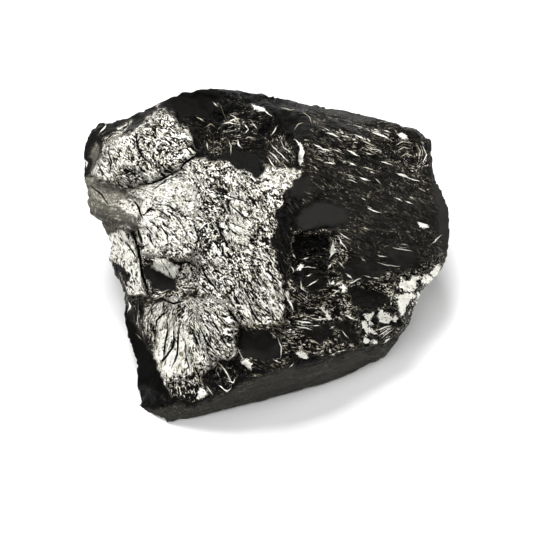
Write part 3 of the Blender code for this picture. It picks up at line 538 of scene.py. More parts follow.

# Painted glints: thin bright lines painted where edges of the break catch the light.
PAINTED_GLINT_SEAMS = [
    # Upper hollow.
    Seam([(-9.4, 20.2), (-8.6, 19.7)], 0.12, 0.7),
    Seam([(-7.1, 22.2), (-6.7, 21.8)], 0.16),
    Seam([(-6.3, 22), (-5.9, 20.8), (-5.4, 19.8)], 0.12, 0.4),
    Seam([(-5.8, 19.3), (-5, 19.5), (-4.2, 19.3)], 0.12, 0.9),
    Seam([(-5, 20.6), (-4.2, 20.2), (-3.7, 19.4)], 0.12, 0.7),
    Seam([(-8.2, 18.9), (-7.6, 19.3), (-7.2, 19)], 0.12, 0.6),
    Seam([(-2.9, 19.2), (-2.4, 18.6), (-2.9, 18.1)], 0.12, 0.8),
    Seam([(-1.9, 19.4), (-1.3, 18.7)], 0.12, 0.7),
    Seam([(-2.9, 17.2), (-2.3, 17.5), (-1.7, 17.3)], 0.12, 0.7),
    Seam([(-3.9, 16.9), (-3.8, 16.4), (-3.5, 16.1)], 0.21),
    Seam([(-5.1, 16.8), (-4.8, 16.2), (-4.8, 15.2)], 0.12, 0.7),
    Seam([(-8.1, 16.6), (-7.9, 15.8)], 0.14, 0.8),
    Seam([(-7.2, 15.8), (-6.6, 16), (-6.2, 15.6)], 0.12, 0.5),
    Seam([(-1.9, 21.8), (-1.1, 21.4), (-0.3, 21.2)], 0.4),
    Seam([(-0.7, 21.5), (0, 21), (0.5, 20.5)], 0.16),
    Seam([(0.8, 17.9), (1.1, 18.3), (1.4, 18.8)], 0.16),
    Seam([(0.8, 16.2), (1.8, 15.2), (2.9, 14.1)], 0.12),
    Seam([(0.4, 15.4), (1.2, 14.6), (1.8, 13.8)], 0.12, 0.8),
    Seam([(2, 17), (2.4, 16), (3.4, 15.4)], 0.12, 0.8),
    Seam([(0.2, 14.6), (0.6, 13.9), (1.3, 13)], 0.12, 0.9),
    Seam([(2.2, 13.8), (2.8, 13.1), (3.2, 12.6)], 0.12, 0.7),
    Seam([(4, 17), (4.6, 16.4), (4.9, 15.4)], 0.21),
    Seam([(4.9, 15.8), (4.8, 14.8), (4.6, 13.7)], 0.27),
    Seam([(3.8, 18.4), (4.3, 19.2), (5, 19.4)], 0.12, 0.6),
    Seam([(5, 20.8), (5.7, 20.3), (6.1, 19.4)], 0.12, 0.6),
    Seam([(2, 21.5), (3.2, 21.2), (3.8, 21.2)], 0.12, 0.6),
    # Right side.
    Seam([(8.2, 18), (8.9, 17.8), (9.6, 17.5)], 0.16),
    Seam([(10.6, 17.7), (11.1, 17.5)], 0.12, 0.8),
    Seam([(11.9, 17.7), (12.4, 17.5), (13, 17.3)], 0.15),
    Seam([(14.4, 18.1), (15.4, 17.7), (17, 17.1)], 0.18),
    Seam([(14.6, 18.6), (15.2, 18.4)], 0.16, 0.7),
    Seam([(16.1, 18.5), (16.8, 18.2)], 0.14, 0.8),
    Seam([(18, 17.9), (18.5, 17.8), (19, 17.5)], 0.44),
    Seam([(6.4, 16.3), (7.6, 15.9), (8.4, 15.6)], 0.16),
    Seam([(9, 15.7), (9.6, 15.5), (10.2, 15.3)], 0.15),
    Seam([(7, 15.6), (7.8, 15.3)], 0.12, 0.7),
    Seam([(11, 15.6), (11.7, 15.3), (12.3, 15)], 0.21),
    Seam([(12.9, 17), (13.6, 16.7), (14.6, 16.4)], 0.12, 0.7),
    Seam([(13.6, 16.2), (14.4, 15.9), (15.2, 15.8)], 0.12, 0.7),
    Seam([(13.4, 15.3), (14.2, 15.1)], 0.12, 0.8),
    Seam([(8, 13.9), (8.5, 13.9), (9, 13.8)], 0.24),
    Seam([(11.3, 13.9), (12, 13.7)], 0.15),
    Seam([(15.5, 14.2), (16.2, 14), (16.9, 13.7)], 0.15),
    Seam([(13, 13.4), (14, 13.1), (15, 12.8)], 0.12, 0.7),
    Seam([(6.1, 13.6), (6.8, 13.1)], 0.12, 0.8),
    Seam([(17.8, 12.6), (18.5, 12.4), (19.2, 12.1)], 0.32),
    Seam([(19, 12.1), (20, 11.7), (21, 11.4)], 0.16),
    Seam([(12.8, 11.9), (13.7, 11.6)], 0.23),
    Seam([(11, 11.6), (11.6, 11.5), (12, 11.3)], 0.12),
    Seam([(10.9, 12.4), (11.7, 12.1)], 0.12, 0.8),
    Seam([(14.6, 11.8), (15.4, 11.2)], 0.12, 0.7),
    Seam([(17.4, 9.2), (18, 8.9)], 0.21),
    Seam([(18.9, 8.7), (19.5, 8.5)], 0.21),
    Seam([(12.8, 9.1), (13.3, 8.9)], 0.12, 0.7),
    Seam([(13.6, 7.8), (14.3, 7.5), (15, 7.3)], 0.16),
    Seam([(13.4, 8.2), (14.1, 7.9)], 0.12, 0.7),
    Seam([(20.6, 5.8), (21.1, 5.6), (21.7, 5.3)], 0.4),
    Seam([(13, 5.2), (13.8, 4.9)], 0.12, 0.7),
    Seam([(17.1, 2.5), (18.2, 2.3), (19.4, 2.1)], 0.12, 0.8),
    Seam([(18.2, 3), (18.9, 2.9)], 0.12, 0.6),
    Seam([(15, 1.5), (15.9, 1.3)], 0.12, 0.8),
    Seam([(15, 0.5), (16.2, 0.2), (17.8, 0)], 0.12, 0.8),
    Seam([(12.8, 1.1), (13.2, 0.8)], 0.12, 0.8),
    Seam([(22.4, 3.2), (22.7, 3.4), (23.6, 4.2)], 0.14, 0.8),
    # The swirl at its upper corner.
    Seam([(21.2, 16.4), (21.7, 15.3), (21.3, 14.1)], 0.14),
    Seam([(20.4, 16.6), (20.9, 15.6), (20.7, 14.6)], 0.12, 0.7),
    Seam([(17.6, 16.5), (18.5, 17), (19.6, 16.8)], 0.12, 0.7),
    Seam([(17.8, 15.7), (18.6, 16.2), (19.4, 16)], 0.12, 0.7),
    Seam([(18.2, 14.9), (19, 15.3), (19.8, 15)], 0.12, 0.6),
    # Chipped corner.
    Seam([(9, 3.3), (8.9, 2.4), (8.6, 1.3)], 0.32),
    Seam([(9.8, 4.5), (10.4, 4), (11, 3.7)], 0.14, 0.9),
    Seam([(9.6, 3.9), (10, 3.2), (10.7, 2.4)], 0.14),
    Seam([(9.6, 0.6), (10.2, -0.1)], 0.15, 0.9),
    Seam([(8.3, -0.2), (8.6, 0.2)], 0.16, 0.8),
    Seam([(3.4, 1.6), (3.7, 1.2)], 0.14, 0.9),
    Seam([(5, 1), (5.6, 1.2)], 0.15),
    Seam([(4.1, -0.3), (4.5, -0.1), (4.8, 0.1)], 0.4),
    Seam([(5.1, -0.1), (5.8, -0.1), (6.4, -0.2)], 0.12),
    Seam([(3.3, -0.2), (3.5, -0.6)], 0.16),
    Seam([(5.5, -1.3), (5.9, -1.2)], 0.16, 0.8),
    Seam([(4.6, -2.2), (4.6, -2.9), (5.2, -3.3)], 0.14),
    Seam([(5.5, -2.6), (6, -2.3), (6.7, -1.9)], 0.14, 0.9),
    Seam([(8.3, -1.8), (8.5, -2.6)], 0.12, 0.7),
    Seam([(2.7, -3.9), (2.9, -4.6), (3.5, -5.8)], 0.24),
    Seam([(2.9, -4.6), (3.4, -4.5)], 0.14),
    Seam([(10.2, -2.4), (10.2, -3), (10, -3.4)], 0.29),
    Seam([(9, -3.6), (9.6, -3.2)], 0.14),
    Seam([(11.2, -2.2), (11.9, -1.9), (12.5, -1.6)], 0.15, 0.9),
    Seam([(10.8, -1.1), (11.3, -1.5)], 0.21, 0.9),
    Seam([(13.2, -1.2), (13.9, -1.4)], 0.12, 0.9),
    Seam([(14.4, -1.5), (15, -1.6)], 0.14, 0.9),
    Seam([(7.2, -5.6), (8, -6.2), (8.5, -6.8)], 0.27),
    Seam([(7.6, -5.2), (7.7, -5.8)], 0.16),
    Seam([(8.6, -5.9), (9.1, -5.5)], 0.14, 0.8),
    Seam([(6, -6.9), (7.2, -7.1), (8.4, -7)], 0.14),
    Seam([(4.1, -7.3), (5, -7.5), (5.8, -7.6)], 0.21),
    Seam([(4.1, -8), (5, -8.2), (5.8, -8.4)], 0.15),
    Seam([(6.2, -7.9), (7, -7.9)], 0.12, 0.9),
    Seam([(10.7, -6.5), (11.2, -6.8), (11.6, -7)], 0.27),
    Seam([(8.6, -8.2), (8.9, -8)], 0.2, 0.8),
    Seam([(0.9, -9.1), (1.2, -9.4)], 0.15, 0.8),
    Seam([(10, -8.6), (10.8, -9.5)], 0.12, 0.8),
    Seam([(8.2, -9.9), (8.6, -10.2)], 0.12, 0.7),
    Seam([(14.9, -8.5), (15.8, -8.2), (16.5, -8)], 0.22, 0.8),
    Seam([(15.1, -9.3), (15.9, -8.8), (16.6, -8.3)], 0.14, 0.9),
    Seam([(15.5, -9.6), (16.2, -9.1), (16.9, -8.5)], 0.12, 0.8),
    Seam([(15.9, -10.1), (16.6, -9.7)], 0.21, 0.9),
    Seam([(4.1, -11.6), (4.7, -11.8), (5.4, -12.1)], 0.44),
    Seam([(8.7, -11.8), (9.1, -11.6)], 0.14),
    Seam([(9.5, -11.4), (9.8, -11.3)], 0.21),
    Seam([(10.1, -11.2), (10.4, -11.2)], 0.15),
    Seam([(3.2, -13.3), (3.5, -13)], 0.15, 0.8),
    Seam([(1.7, -9.8), (2, -10.8), (1.9, -12)], 0.16, 0.8),
    Seam([(1.1, -12.5), (1.5, -12.7)], 0.21, 0.9),
    # Around the pit, the flank and the broken corner.
    Seam([(-3, -12.6), (-2.4, -13), (-2.1, -13.6)], 0.37),
    Seam([(-3.9, -11), (-3.4, -12), (-3, -12.6)], 0.12, 0.8),
    Seam([(-6.5, -12.8), (-5.6, -13.8), (-4.6, -15.6)], 0.12, 0.9),
    Seam([(-6.4, -14.6), (-6.6, -14.2)], 0.14, 0.9),
    Seam([(-6.2, -16.2), (-5.4, -16.6), (-4.8, -16.2)], 0.14),
    Seam([(-5, -15.4), (-4.4, -15.6), (-4.2, -15.2)], 0.14, 0.9),
    Seam([(-7.8, -16.2), (-7.3, -17)], 0.12, 0.9),
    Seam([(-10.3, -0.5), (-10.1, -1), (-10.4, -1.6)], 0.21),
    Seam([(-11.6, -0.9), (-11, -0.4), (-10.4, -0.4)], 0.12, 0.8),
    Seam([(-14.9, -3.4), (-14, -3.6), (-13.2, -3.2)], 0.12, 0.7),
    Seam([(-18.5, -4.9), (-18.3, -5.4), (-18.6, -6)], 0.27, 0.9),
    Seam([(-17.2, -6.2), (-17.3, -7.2), (-17.1, -8.4)], 0.12, 0.7),
    Seam([(-17.4, -9.2), (-16.8, -9.8)], 0.12, 0.6),
    Seam([(-22.6, 18.2), (-22.2, 18.7), (-21.9, 19.1)], 0.21),
    Seam([(-24.6, 14.6), (-24.3, 14.1), (-24.4, 13.6)], 0.21, 0.9),
]


class Pattern(Enum):
    """How a grain is drawn from a noise pattern."""

    BLOTCH = "the noise itself"
    CONTOUR = "a line where the noise crosses its middle"
    CELL = "one value for each cell"


@dataclass(frozen=True)
class Grain:
    """One layer of shades, cuts or painted glints, as bright lines, in the break.

    It runs from the first to the second of its levels while its pattern runs from the first to the
    second of its values, times the look of the skin that it is scaled by.
    """

    size_mm: Pair  # along the layers of the break and across them
    values: Pair
    levels: Pair
    scaled_by: str
    pattern: Pattern = Pattern.BLOTCH
    detail: float = 1.0  # how many finer copies the noise has
    gathered: bool = False  # dense in some places and missing in others


GRAINS = (
    Grain((6.0, 1.4), (0.38, 0.6), (-0.5, 0.15), "contrast", detail=2.0),
    Grain((3.4, 0.4), (0.42, 0.5), (-0.85, 0.22), "contrast"),
    Grain((1.8, 0.32), (0.0, 1.0), (-0.35, 0.3), "contrast", Pattern.CELL),
    Grain((1.3, 0.15), (0.45, 0.51), (-0.75, 0.3), "contrast", detail=0.0),
    Grain((0.6, 0.15), (0.25, 0.5), (-0.75, 0.3), "contrast", Pattern.CELL),
    Grain((0.24, 0.2), (0.18, 0.32), (-1.0, 0.16), "contrast", Pattern.CELL),
    Grain((3.0, 0.22), (0.38, 0.42), (-1.1, 0.0), "cuts", gathered=True),
    Grain((1.4, 0.16), (0.37, 0.4), (-1.1, 0.0), "cuts"),
    Grain((3.2, 0.7), (0.006, 0.014), (-1.1, 0.0), "cuts", Pattern.CONTOUR, 2.0),
    # The last three grains paint glints: thin bright lines and single chips painted bright.
    Grain((1.6, 0.15), (0.61, 0.65), (0.0, 0.9), "sparkle", gathered=True),
    Grain((0.5, 0.17), (0.66, 0.7), (0.0, 0.7), "sparkle", gathered=True),
    Grain((0.9, 0.5), (0.9, 0.93), (0.0, 1.0), "chipped", Pattern.CELL),
)


@dataclass
class VitreousCarbon:
    """Noble shungite, a glassy carbon mineraloid, freshly broken with a shell-like fracture.

    It is black glass with a half-metallic lustre. The faces that the break left turned to the lamps
    are painted light like bright metal foil, a painted reflection of the lamps, crossed by fine black
    cuts along the layers; the gloss on top of it is real. The rest stays charcoal, with painted glints
    as thin bright lines, and smooth panes are painted an even dark grey, a painted reflection too.

    The break's level is 0 where it is black and 1 where it is white. Pairs of limits say between which
    two values something rises, and each pattern has a shift that sets it apart from the others.
    """

    # The colours of the painted shine, from the stone's own black up to the cream white of a painted
    # highlight.
    broken: Stops = (
        (0.0, "#030303"), (1.0, "#fffdf4"), (0.14, "#11100d"), (0.3, "#282622"), (0.5, "#5d5849"),
        (0.75, "#bcb4a0"))
    # The colours that smooth panes are painted, with a painted reflection at the light end.
    smooth: Stops = ((0.0, "#020202"), (1.0, "#d4d0be"), (0.4, "#353432"))
    grains: tuple[Grain, ...] = GRAINS
    grain_shift: float = 7.3
    noise_roughness: float = 0.55
    gather_mm: Pair = (3.4, 1.5)
    gather_shift: float = 50.0
    gather_limits: Pair = (0.42, 0.6)
    gather_least: float = 0.08  # what stays of a gathered grain between its dense places
    wobble_mm: Pair = (0.36, 0.36)
    wobble_shift: float = 77.0
    ragged_mm: Pair = (0.26, 0.26)
    ragged_shift: float = 91.0
    plate_ragged_mm: float = 0.8  # how far the ragged noise moves a plate's edge
    plate_limits: Pair = (0.36, 0.4)
    pit_limits: Pair = (0.32, 0.36)
    # how light a plate's painted reflection is
    plate_levels: Pair = (0.2, 1.25)  # in a plate's pits and on its flat
    seam_wobble_mm: float = 0.1
    seam_edge_mm: Pair = (-0.025, 0.02)  # a seam fades in from outside its edge to inside it
    seam_reach_mm: float = 0.32  # no seam shows farther out than this
    seam_level: float = 1.2  # of a seam whose tone is 1
    dapple: float = 0.06  # how uneven a smooth pane is
    bright_limits: Pair = (0.25, 0.9)
    metallic: float = 0.4
    ior: float = 1.5
    roughness: Pair = (0.2, 0.36)  # where it is black and where it shines
    pane_roughness: float = 0.25  # what a smooth pane adds
    specular: Pair = (0.06, 0.3)  # where it is black, and what shining adds
    relief_mm: float = 0.14
    relief_strength: float = 0.6
    relief_share: float = 0.7  # how much of each grain is raised
    tree: bpy.types.NodeTree = field(init=False)
    grain: Socket = field(init=False)  # the places along and across the layers, in mm
    looks: dict[str, Socket] = field(init=False)  # the other values that the skin carries

    def build(self) -> bpy.types.Material:
        """Makes the material.

        Returns:
            The finished material.
        """
        material = bpy.data.materials.new("shungite_vitreous_carbon_conchoidal")
        material.use_nodes = True
        tree = self.tree = material.node_tree
        tree.nodes.clear()
        self.grain = add(tree, "ShaderNodeAttribute", attribute_name="grain", out="Vector")
        self.looks = {name: add(tree, "ShaderNodeAttribute", attribute_name=name, out="Fac")
                      for name in FINISH_VALUES}
        wobble = self.draw(self.wobble_mm, self.wobble_shift)
        shine, raised = self.lay_grains()
        shine, plain = self.draw_lines(shine, wobble)

        polish = add(tree, "ShaderNodeMath", (self.looks["polish"], plain), operation="MULTIPLY")
        rough = add(tree, "ShaderNodeMath", (1.0, polish), operation="SUBTRACT")
        dappled = add(tree, "ShaderNodeMath", (wobble, self.dapple, self.looks["painted_sheen"]),
                      operation="MULTIPLY_ADD")
        colour = add(tree, "ShaderNodeMix", {0: polish, 6: self.tint(shine, self.broken),
                                             7: self.tint(dappled, self.smooth)}, 2, data_type="RGBA")
        bright = add(tree, "ShaderNodeMapRange", (shine, *self.bright_limits),
                     interpolation_type="SMOOTHSTEP")
        bright = add(tree, "ShaderNodeMath", (bright, rough), operation="MULTIPLY")
        metallic = add(tree, "ShaderNodeMath", (bright, self.metallic), operation="MULTIPLY")
        gloss = add(tree, "ShaderNodeMapRange", (bright, 0.0, 1.0, *self.roughness))
        gloss = add(tree, "ShaderNodeMath", (polish, self.pane_roughness, gloss), operation="MULTIPLY_ADD")
        least, most = self.specular
        specular = add(tree, "ShaderNodeMath", (bright, most, least), operation="MULTIPLY_ADD")
        specular = add(tree, "ShaderNodeMath", (specular, rough), operation="MULTIPLY")
        height = add(tree, "ShaderNodeMath", (raised, rough), operation="MULTIPLY")
        bump = add(tree, "ShaderNodeBump", {"Height": height, "Strength": self.relief_strength,
                                            "Distance": self.relief_mm * MM})
        shader = add(tree, "ShaderNodeBsdfPrincipled",
                     {"Base Color": colour, "Metallic": metallic, "Roughness": gloss, "IOR": self.ior,
                      "Specular IOR Level": specular, "Normal": bump})
        add(tree, "ShaderNodeOutputMaterial", {"Surface": shader})
        return material

    def draw(self, size_mm: Pair, shift: float, pattern: Pattern = Pattern.BLOTCH,
             detail: float = 1.0) -> Socket:
        """Draws one irregular pattern along the layers of the break.

        Args:
            size_mm: the pattern's size along and across the layers.
            shift: sets this pattern apart from the others.
            pattern: how it is drawn.
            detail: how many finer copies the noise has.

        Returns:
            The pattern's value, from 0 to 1.
        """
        tree = self.tree
        along, across = size_mm
        place = add(tree, "ShaderNodeMapping", {"Vector": self.grain, "Location": (shift, shift, shift),
                                                "Scale": (1 / along, 1 / across, 1 / across)})
        if pattern is Pattern.CELL:
            cell = add(tree, "ShaderNodeTexVoronoi", {"Vector": place, "Scale": 1.0}, "Color")
            return add(tree, "ShaderNodeSeparateColor", (cell,))
        value = add(tree, "ShaderNodeTexNoise", {"Vector": place, "Scale": 1.0, "Detail": detail,
                                                 "Roughness": self.noise_roughness})
        if pattern is Pattern.CONTOUR:
            value = add(tree, "ShaderNodeMath", (value, 0.5), operation="SUBTRACT")
            value = add(tree, "ShaderNodeMath", (value,), operation="ABSOLUTE")
        return value

    def lay_grains(self) -> tuple[Socket, Socket]:
        """Lays the grains over one another.

        Returns:
            How light the break is with them, and how high.
        """
        tree = self.tree
        gather = self.draw(self.gather_mm, self.gather_shift)
        gather = add(tree, "ShaderNodeMapRange", (gather, *self.gather_limits, self.gather_least),
                     interpolation_type="SMOOTHSTEP")
        shine = raised = self.looks["painted_shine"]
        for number, layer in enumerate(self.grains):
            value = self.draw(layer.size_mm, self.grain_shift * number, layer.pattern, layer.detail)
            value = add(tree, "ShaderNodeMapRange", (value, *layer.values, *layer.levels),
                        interpolation_type="SMOOTHSTEP")
            if layer.gathered:
                value = add(tree, "ShaderNodeMath", (value, gather), operation="MULTIPLY")
            scale = self.looks[layer.scaled_by]
            shine = add(tree, "ShaderNodeMath", (value, scale, shine), operation="MULTIPLY_ADD")
            raised = add(tree, "ShaderNodeMath", (value, self.relief_share, raised),
                         operation="MULTIPLY_ADD")
        return shine, raised

    def draw_lines(self, shine: Socket, wobble: Socket) -> tuple[Socket, Socket]:
        """Draws the plates, painted reflections, and over them the seams, black cracks and painted glints,
        which have crisp, slightly uneven edges.

        Args:
            shine: how light the break is without them.
            wobble: a fine noise that moves the seams.

        Returns:
            How light the break is with them, and where there is none of them.
        """
        tree = self.tree
        ragged = self.draw(self.ragged_mm, self.ragged_shift)
        edge = add(tree, "ShaderNodeMath", (ragged, self.plate_ragged_mm, self.looks["plate"]),
                   operation="MULTIPLY_ADD")
        plate = add(tree, "ShaderNodeMapRange", (edge, *self.plate_limits), interpolation_type="SMOOTHSTEP")
        pitted = add(tree, "ShaderNodeMapRange", (ragged, *self.pit_limits, *self.plate_levels))
        shine = add(tree, "ShaderNodeMix", {0: plate, 2: shine, 3: pitted})

        off = add(tree, "ShaderNodeMath", (wobble, self.seam_wobble_mm, self.looks["across"]),
                  operation="MULTIPLY_ADD")
        off = add(tree, "ShaderNodeMath", (off, self.seam_wobble_mm / 2), operation="SUBTRACT")
        off = add(tree, "ShaderNodeMath", (off,), operation="ABSOLUTE")
        inside = add(tree, "ShaderNodeMath", (self.looks["half"], off), operation="SUBTRACT")
        seam = add(tree, "ShaderNodeMapRange", (inside, *self.seam_edge_mm), interpolation_type="SMOOTHSTEP")
        close = add(tree, "ShaderNodeMath", (self.looks["near"], self.seam_reach_mm), operation="LESS_THAN")
        seam = add(tree, "ShaderNodeMath", (seam, close), operation="MULTIPLY")
        level = add(tree, "ShaderNodeMath", (self.looks["tone"], self.seam_level), operation="MULTIPLY")
        shine = add(tree, "ShaderNodeMix", {0: seam, 2: shine, 3: level})
        lines = add(tree, "ShaderNodeMath", (seam, plate), operation="MAXIMUM")
        plain = add(tree, "ShaderNodeMath", (1.0, lines), operation="SUBTRACT")
        return shine, plain

    def tint(self, value: Socket, stops: Stops) -> Socket:
        """Turns a value into a colour.

        Args:
            value: the value.
            stops: the colours at the given values.

        Returns:
            The colour.
        """
        colour = add(self.tree, "ShaderNodeValToRGB", (value,))
        elements = colour.node.color_ramp.elements
        for at, (position, hex_colour) in enumerate(stops):
            element = elements[at] if at < len(elements) else elements.new(position)
            element.position = position
            element.color = linear(hex_colour)
        return colour


@dataclass(frozen=True)
class MattePaint:
    """Studio floor board, sprayed with matt white paint, which shows as even soft white."""

    colour: str = "#fbfbfb"
    roughness: float = 0.9

    def build(self) -> bpy.types.Material:
        """Makes the material.

        Returns:
            The finished material.
        """
        material = bpy.data.materials.new("floor_matt_white_paint")
        material.use_nodes = True
        shader = material.node_tree.nodes["Principled BSDF"]
        shader.inputs["Base Color"].default_value = linear(self.colour)
        shader.inputs["Roughness"].default_value = self.roughness
        shader.inputs["Specular IOR Level"].default_value = 0.0
        return material


def cloud(places: np.ndarray, size_mm: float, shift: float = 0.0) -> np.ndarray:
    """Gives a smooth irregular value from about -1 to 1 at each point.

    Args:
        places: the points, in mm.
        size_mm: the pattern's size.
        shift: sets this pattern apart from others.

    Returns:
        The value at each point.
    """
    apart = Vector((shift, shift, shift))
    return np.array([noise.noise(Vector(place) / size_mm + apart) for place in places]) * 2


@dataclass
class NuggetSkin:
    """The nugget's visible skin: a fine even copy of the solid, with the small relief of its break.

    The two sizes of ridges and waves are along the layers of the break and across them. hidden_heights_mm
    are those of the chips and of the rough noise on the hidden sides.
    """

    source: bpy.types.Object
    name: str = "nugget_skin"
    weld_mm: float = 0.0005
    voxel_mm: float = 0.43
    refine_above: float = 0.1  # faces that look along w more than this are split
    facing_limits: Pair = (-0.12, 0.12)  # the broken face ends where a normal's w is between these
    edge_strays: tuple[Stray, ...] = ((1.6, 0.3, 3.0), (0.5, 0.14, 4.0))
    layer_strays: tuple[Stray, ...] = ((4.0, 0.45, 24.0),)
    seam_strays: tuple[Stray, ...] = ((1.2, 0.04, 14.0),)
    least_reach_mm: float = 2.0  # a bent flow's arcs are measured this far out at least
    seam_reach_mm: float = 0.6  # a seam is looked for this far around it
    seam_taper: float = 0.7  # how much of its width a seam loses towards its ends
    groove_mm: float = 0.3  # a crack is sunk out to this far
    plate_reach_mm: float = 1.0  # a plate is looked for this far around it
    hidden_blotch_mm: Pair = (6.0, 2.0)
    hidden_angle: float = -24.0  # the direction of the layers on the hidden sides, in degrees
    ridge_mm: Pair = (1.9, 0.48)
    fine_ridge_mm: Pair = (0.9, 0.24)
    step_mm: float = 0.95  # from one layer's edge to the next
    step_wave_mm: Pair = (3.0, 1.2)
    step_wave_reach_mm: float = 0.35
    step_fall: float = 0.75  # the share of a layer's width where it starts to fall to the next
    chip_mm: float = 1.1
    fine_chip_mm: float = 0.6
    fine_chip_shares: Pair = (0.35, 0.5)  # on chipped patches and on those with fine ridges
    hidden_chip_mm: float = 2.6
    hidden_rough_mm: float = 1.6
    hidden_heights_mm: Pair = (0.22, 0.12)
    floor_band_mm: Pair = (0.02, 0.4)  # the relief fades out towards the floor
    highest_mm: float = 0.12  # the relief rises this far at most, before the spread
    spread_mm: float = 0.12  # makes up for the edges that the even mesh cuts off
    seed: int = 5
    mesh: bpy.types.Mesh = field(init=False)
    places: np.ndarray = field(init=False)  # the mesh's points, in mm
    normals: np.ndarray = field(init=False)
    face: np.ndarray = field(init=False)  # u and v of each point, in two rows
    facing: np.ndarray = field(init=False)  # how much it belongs to the broken face, from 0 to 1
    layers: np.ndarray = field(init=False)  # its place along and across the layers, in two rows

    def build(self) -> bpy.types.Object:
        """Makes the skin and gives it its finish.

        Returns:
            The skin's object.
        """
        skin = bpy.data.objects.new(self.name, self.even_copy())
        bpy.context.scene.collection.objects.link(skin)
        self.mesh = skin.data
        self.read_places()
        values = self.read_patches()
        self.hidden_looks(values)
        values.update(self.read_seams())
        values["plate"] = self.read_plates()
        self.shape(values)
        self.write(values)
        self.mesh.materials.clear()
        self.mesh.materials.append(VitreousCarbon().build())
        self.mesh.transform(Matrix.Scale(MM, 4))
        return skin

    def even_copy(self) -> bpy.types.Mesh:
        """Copies the solid in mm and gives it an even mesh of small faces.

        Returns:
            The new mesh.
        """
        copy = self.source.data.copy()
        copy.transform(Matrix.Scale(1 / MM, 4))
        welded = bmesh.new()
        welded.from_mesh(copy)
        bmesh.ops.remove_doubles(welded, verts=welded.verts, dist=self.weld_mm)
        welded.to_mesh(copy)
        welded.free()
        holder, solid = [bpy.data.objects.new(name, copy) for name in ("even", "solid")]
        for helper in (holder, solid):
            bpy.context.scene.collection.objects.link(helper)
        remesh = holder.modifiers.new("even", "REMESH")
        remesh.mode = "VOXEL"
        remesh.voxel_size = self.voxel_mm
        ease = holder.modifiers.new("ease", "SMOOTH")
        ease.factor = 0.5
        ease.iterations = 1
        wrap = holder.modifiers.new("wrap", "SHRINKWRAP")
        wrap.target = solid
        wrap.wrap_method = "NEAREST_SURFACEPOINT"
        bpy.context.view_layer.update()
        even = bpy.data.meshes.new_from_object(holder.evaluated_get(bpy.context.evaluated_depsgraph_get()))
        bpy.data.objects.remove(holder)
        bpy.data.objects.remove(solid)
        even.name = self.name
        self.refine(even)
        return even

    def refine(self, mesh: bpy.types.Mesh) -> None:
        """Splits the faces of the broken face into four.

        Args:
            mesh: the even mesh, in mm.
        """
        finer = bmesh.new()
        finer.from_mesh(mesh)
        out = Vector(face_axes()[2])
        split = [face for face in finer.faces if face.normal.dot(out) > self.refine_above]
        edges = {edge for face in split for edge in face.edges}
        bmesh.ops.subdivide_edges(finer, edges=list(edges), cuts=1, use_grid_fill=True)
        finer.to_mesh(mesh)
        finer.free()

    def read_places(self) -> None:
        """Reads the mesh's points and normals and works out where they lie on the broken face."""
        count = len(self.mesh.vertices)
        self.places, self.normals = np.empty(count * 3), np.empty(count * 3)
        self.mesh.vertices.foreach_get("co", self.places)
        self.mesh.vertices.foreach_get("normal", self.normals)
        self.places, self.normals = self.places.reshape(-1, 3), self.normals.reshape(-1, 3)
        axes = face_axes()
        self.face = ((self.places - FACE_ORIGIN_MM) @ axes.T).T[:2]
        self.facing = ramp(self.normals @ axes[2], *self.facing_limits)

    def moved(self, strays: tuple[Stray, ...]) -> np.ndarray:
        """Gives u and v of each point, moved about by the strays."""
        return sum((stray(self.face, *one) for one in strays), self.face)

    def read_patches(self) -> Values:
        """Works out the layers, looks and relief of each point from the patches it lies in.

        Returns:
            An array for each of the looks and reliefs.
        """
        drift, bent = self.moved(self.edge_strays), self.moved(self.layer_strays)
        self.layers = self.flow_places(REST, bent)
        values = {name: np.full(self.facing.shape, getattr(REST, name)) for name in LOOKS + RELIEFS}
        for patch in PATCHES:
            share = ramp(depth_inside(drift, patch.corners), -patch.edge_mm, patch.edge_mm)
            for name, value in values.items():
                value += (getattr(patch, name) - value) * share
            self.layers = np.where(share > 0.5, self.flow_places(patch, bent), self.layers)
        return values

    def flow_places(self, patch: Patch, face: np.ndarray) -> np.ndarray:
        """Works out where each point lies along and across a patch's layers.

        Args:
            patch: the patch whose flow is followed.
            face: u and v of each point, in two rows.

        Returns:
            The places along and across the layers, in two rows, in mm.
        """
        u, v = face
        if patch.flow is Flow.STRAIGHT:
            turn = math.radians(patch.angle)
            return np.array([u * math.cos(turn) + v * math.sin(turn),
                             -u * math.sin(turn) + v * math.cos(turn)])
        du, dv = u - patch.centre[0], v - patch.centre[1]
        radius = np.hypot(du, dv)
        middle_u, middle_v = np.mean(patch.corners, axis=0)
        reach = math.hypot(middle_u - patch.centre[0], middle_v - patch.centre[1])
        opening = math.atan2(middle_v - patch.centre[1], middle_u - patch.centre[0])
        angle = (np.arctan2(dv, du) - opening + math.pi) % math.tau - math.pi
        arc = angle * max(reach, self.least_reach_mm)
        return np.array([radius, arc] if patch.flow is Flow.FAN else [arc, radius])

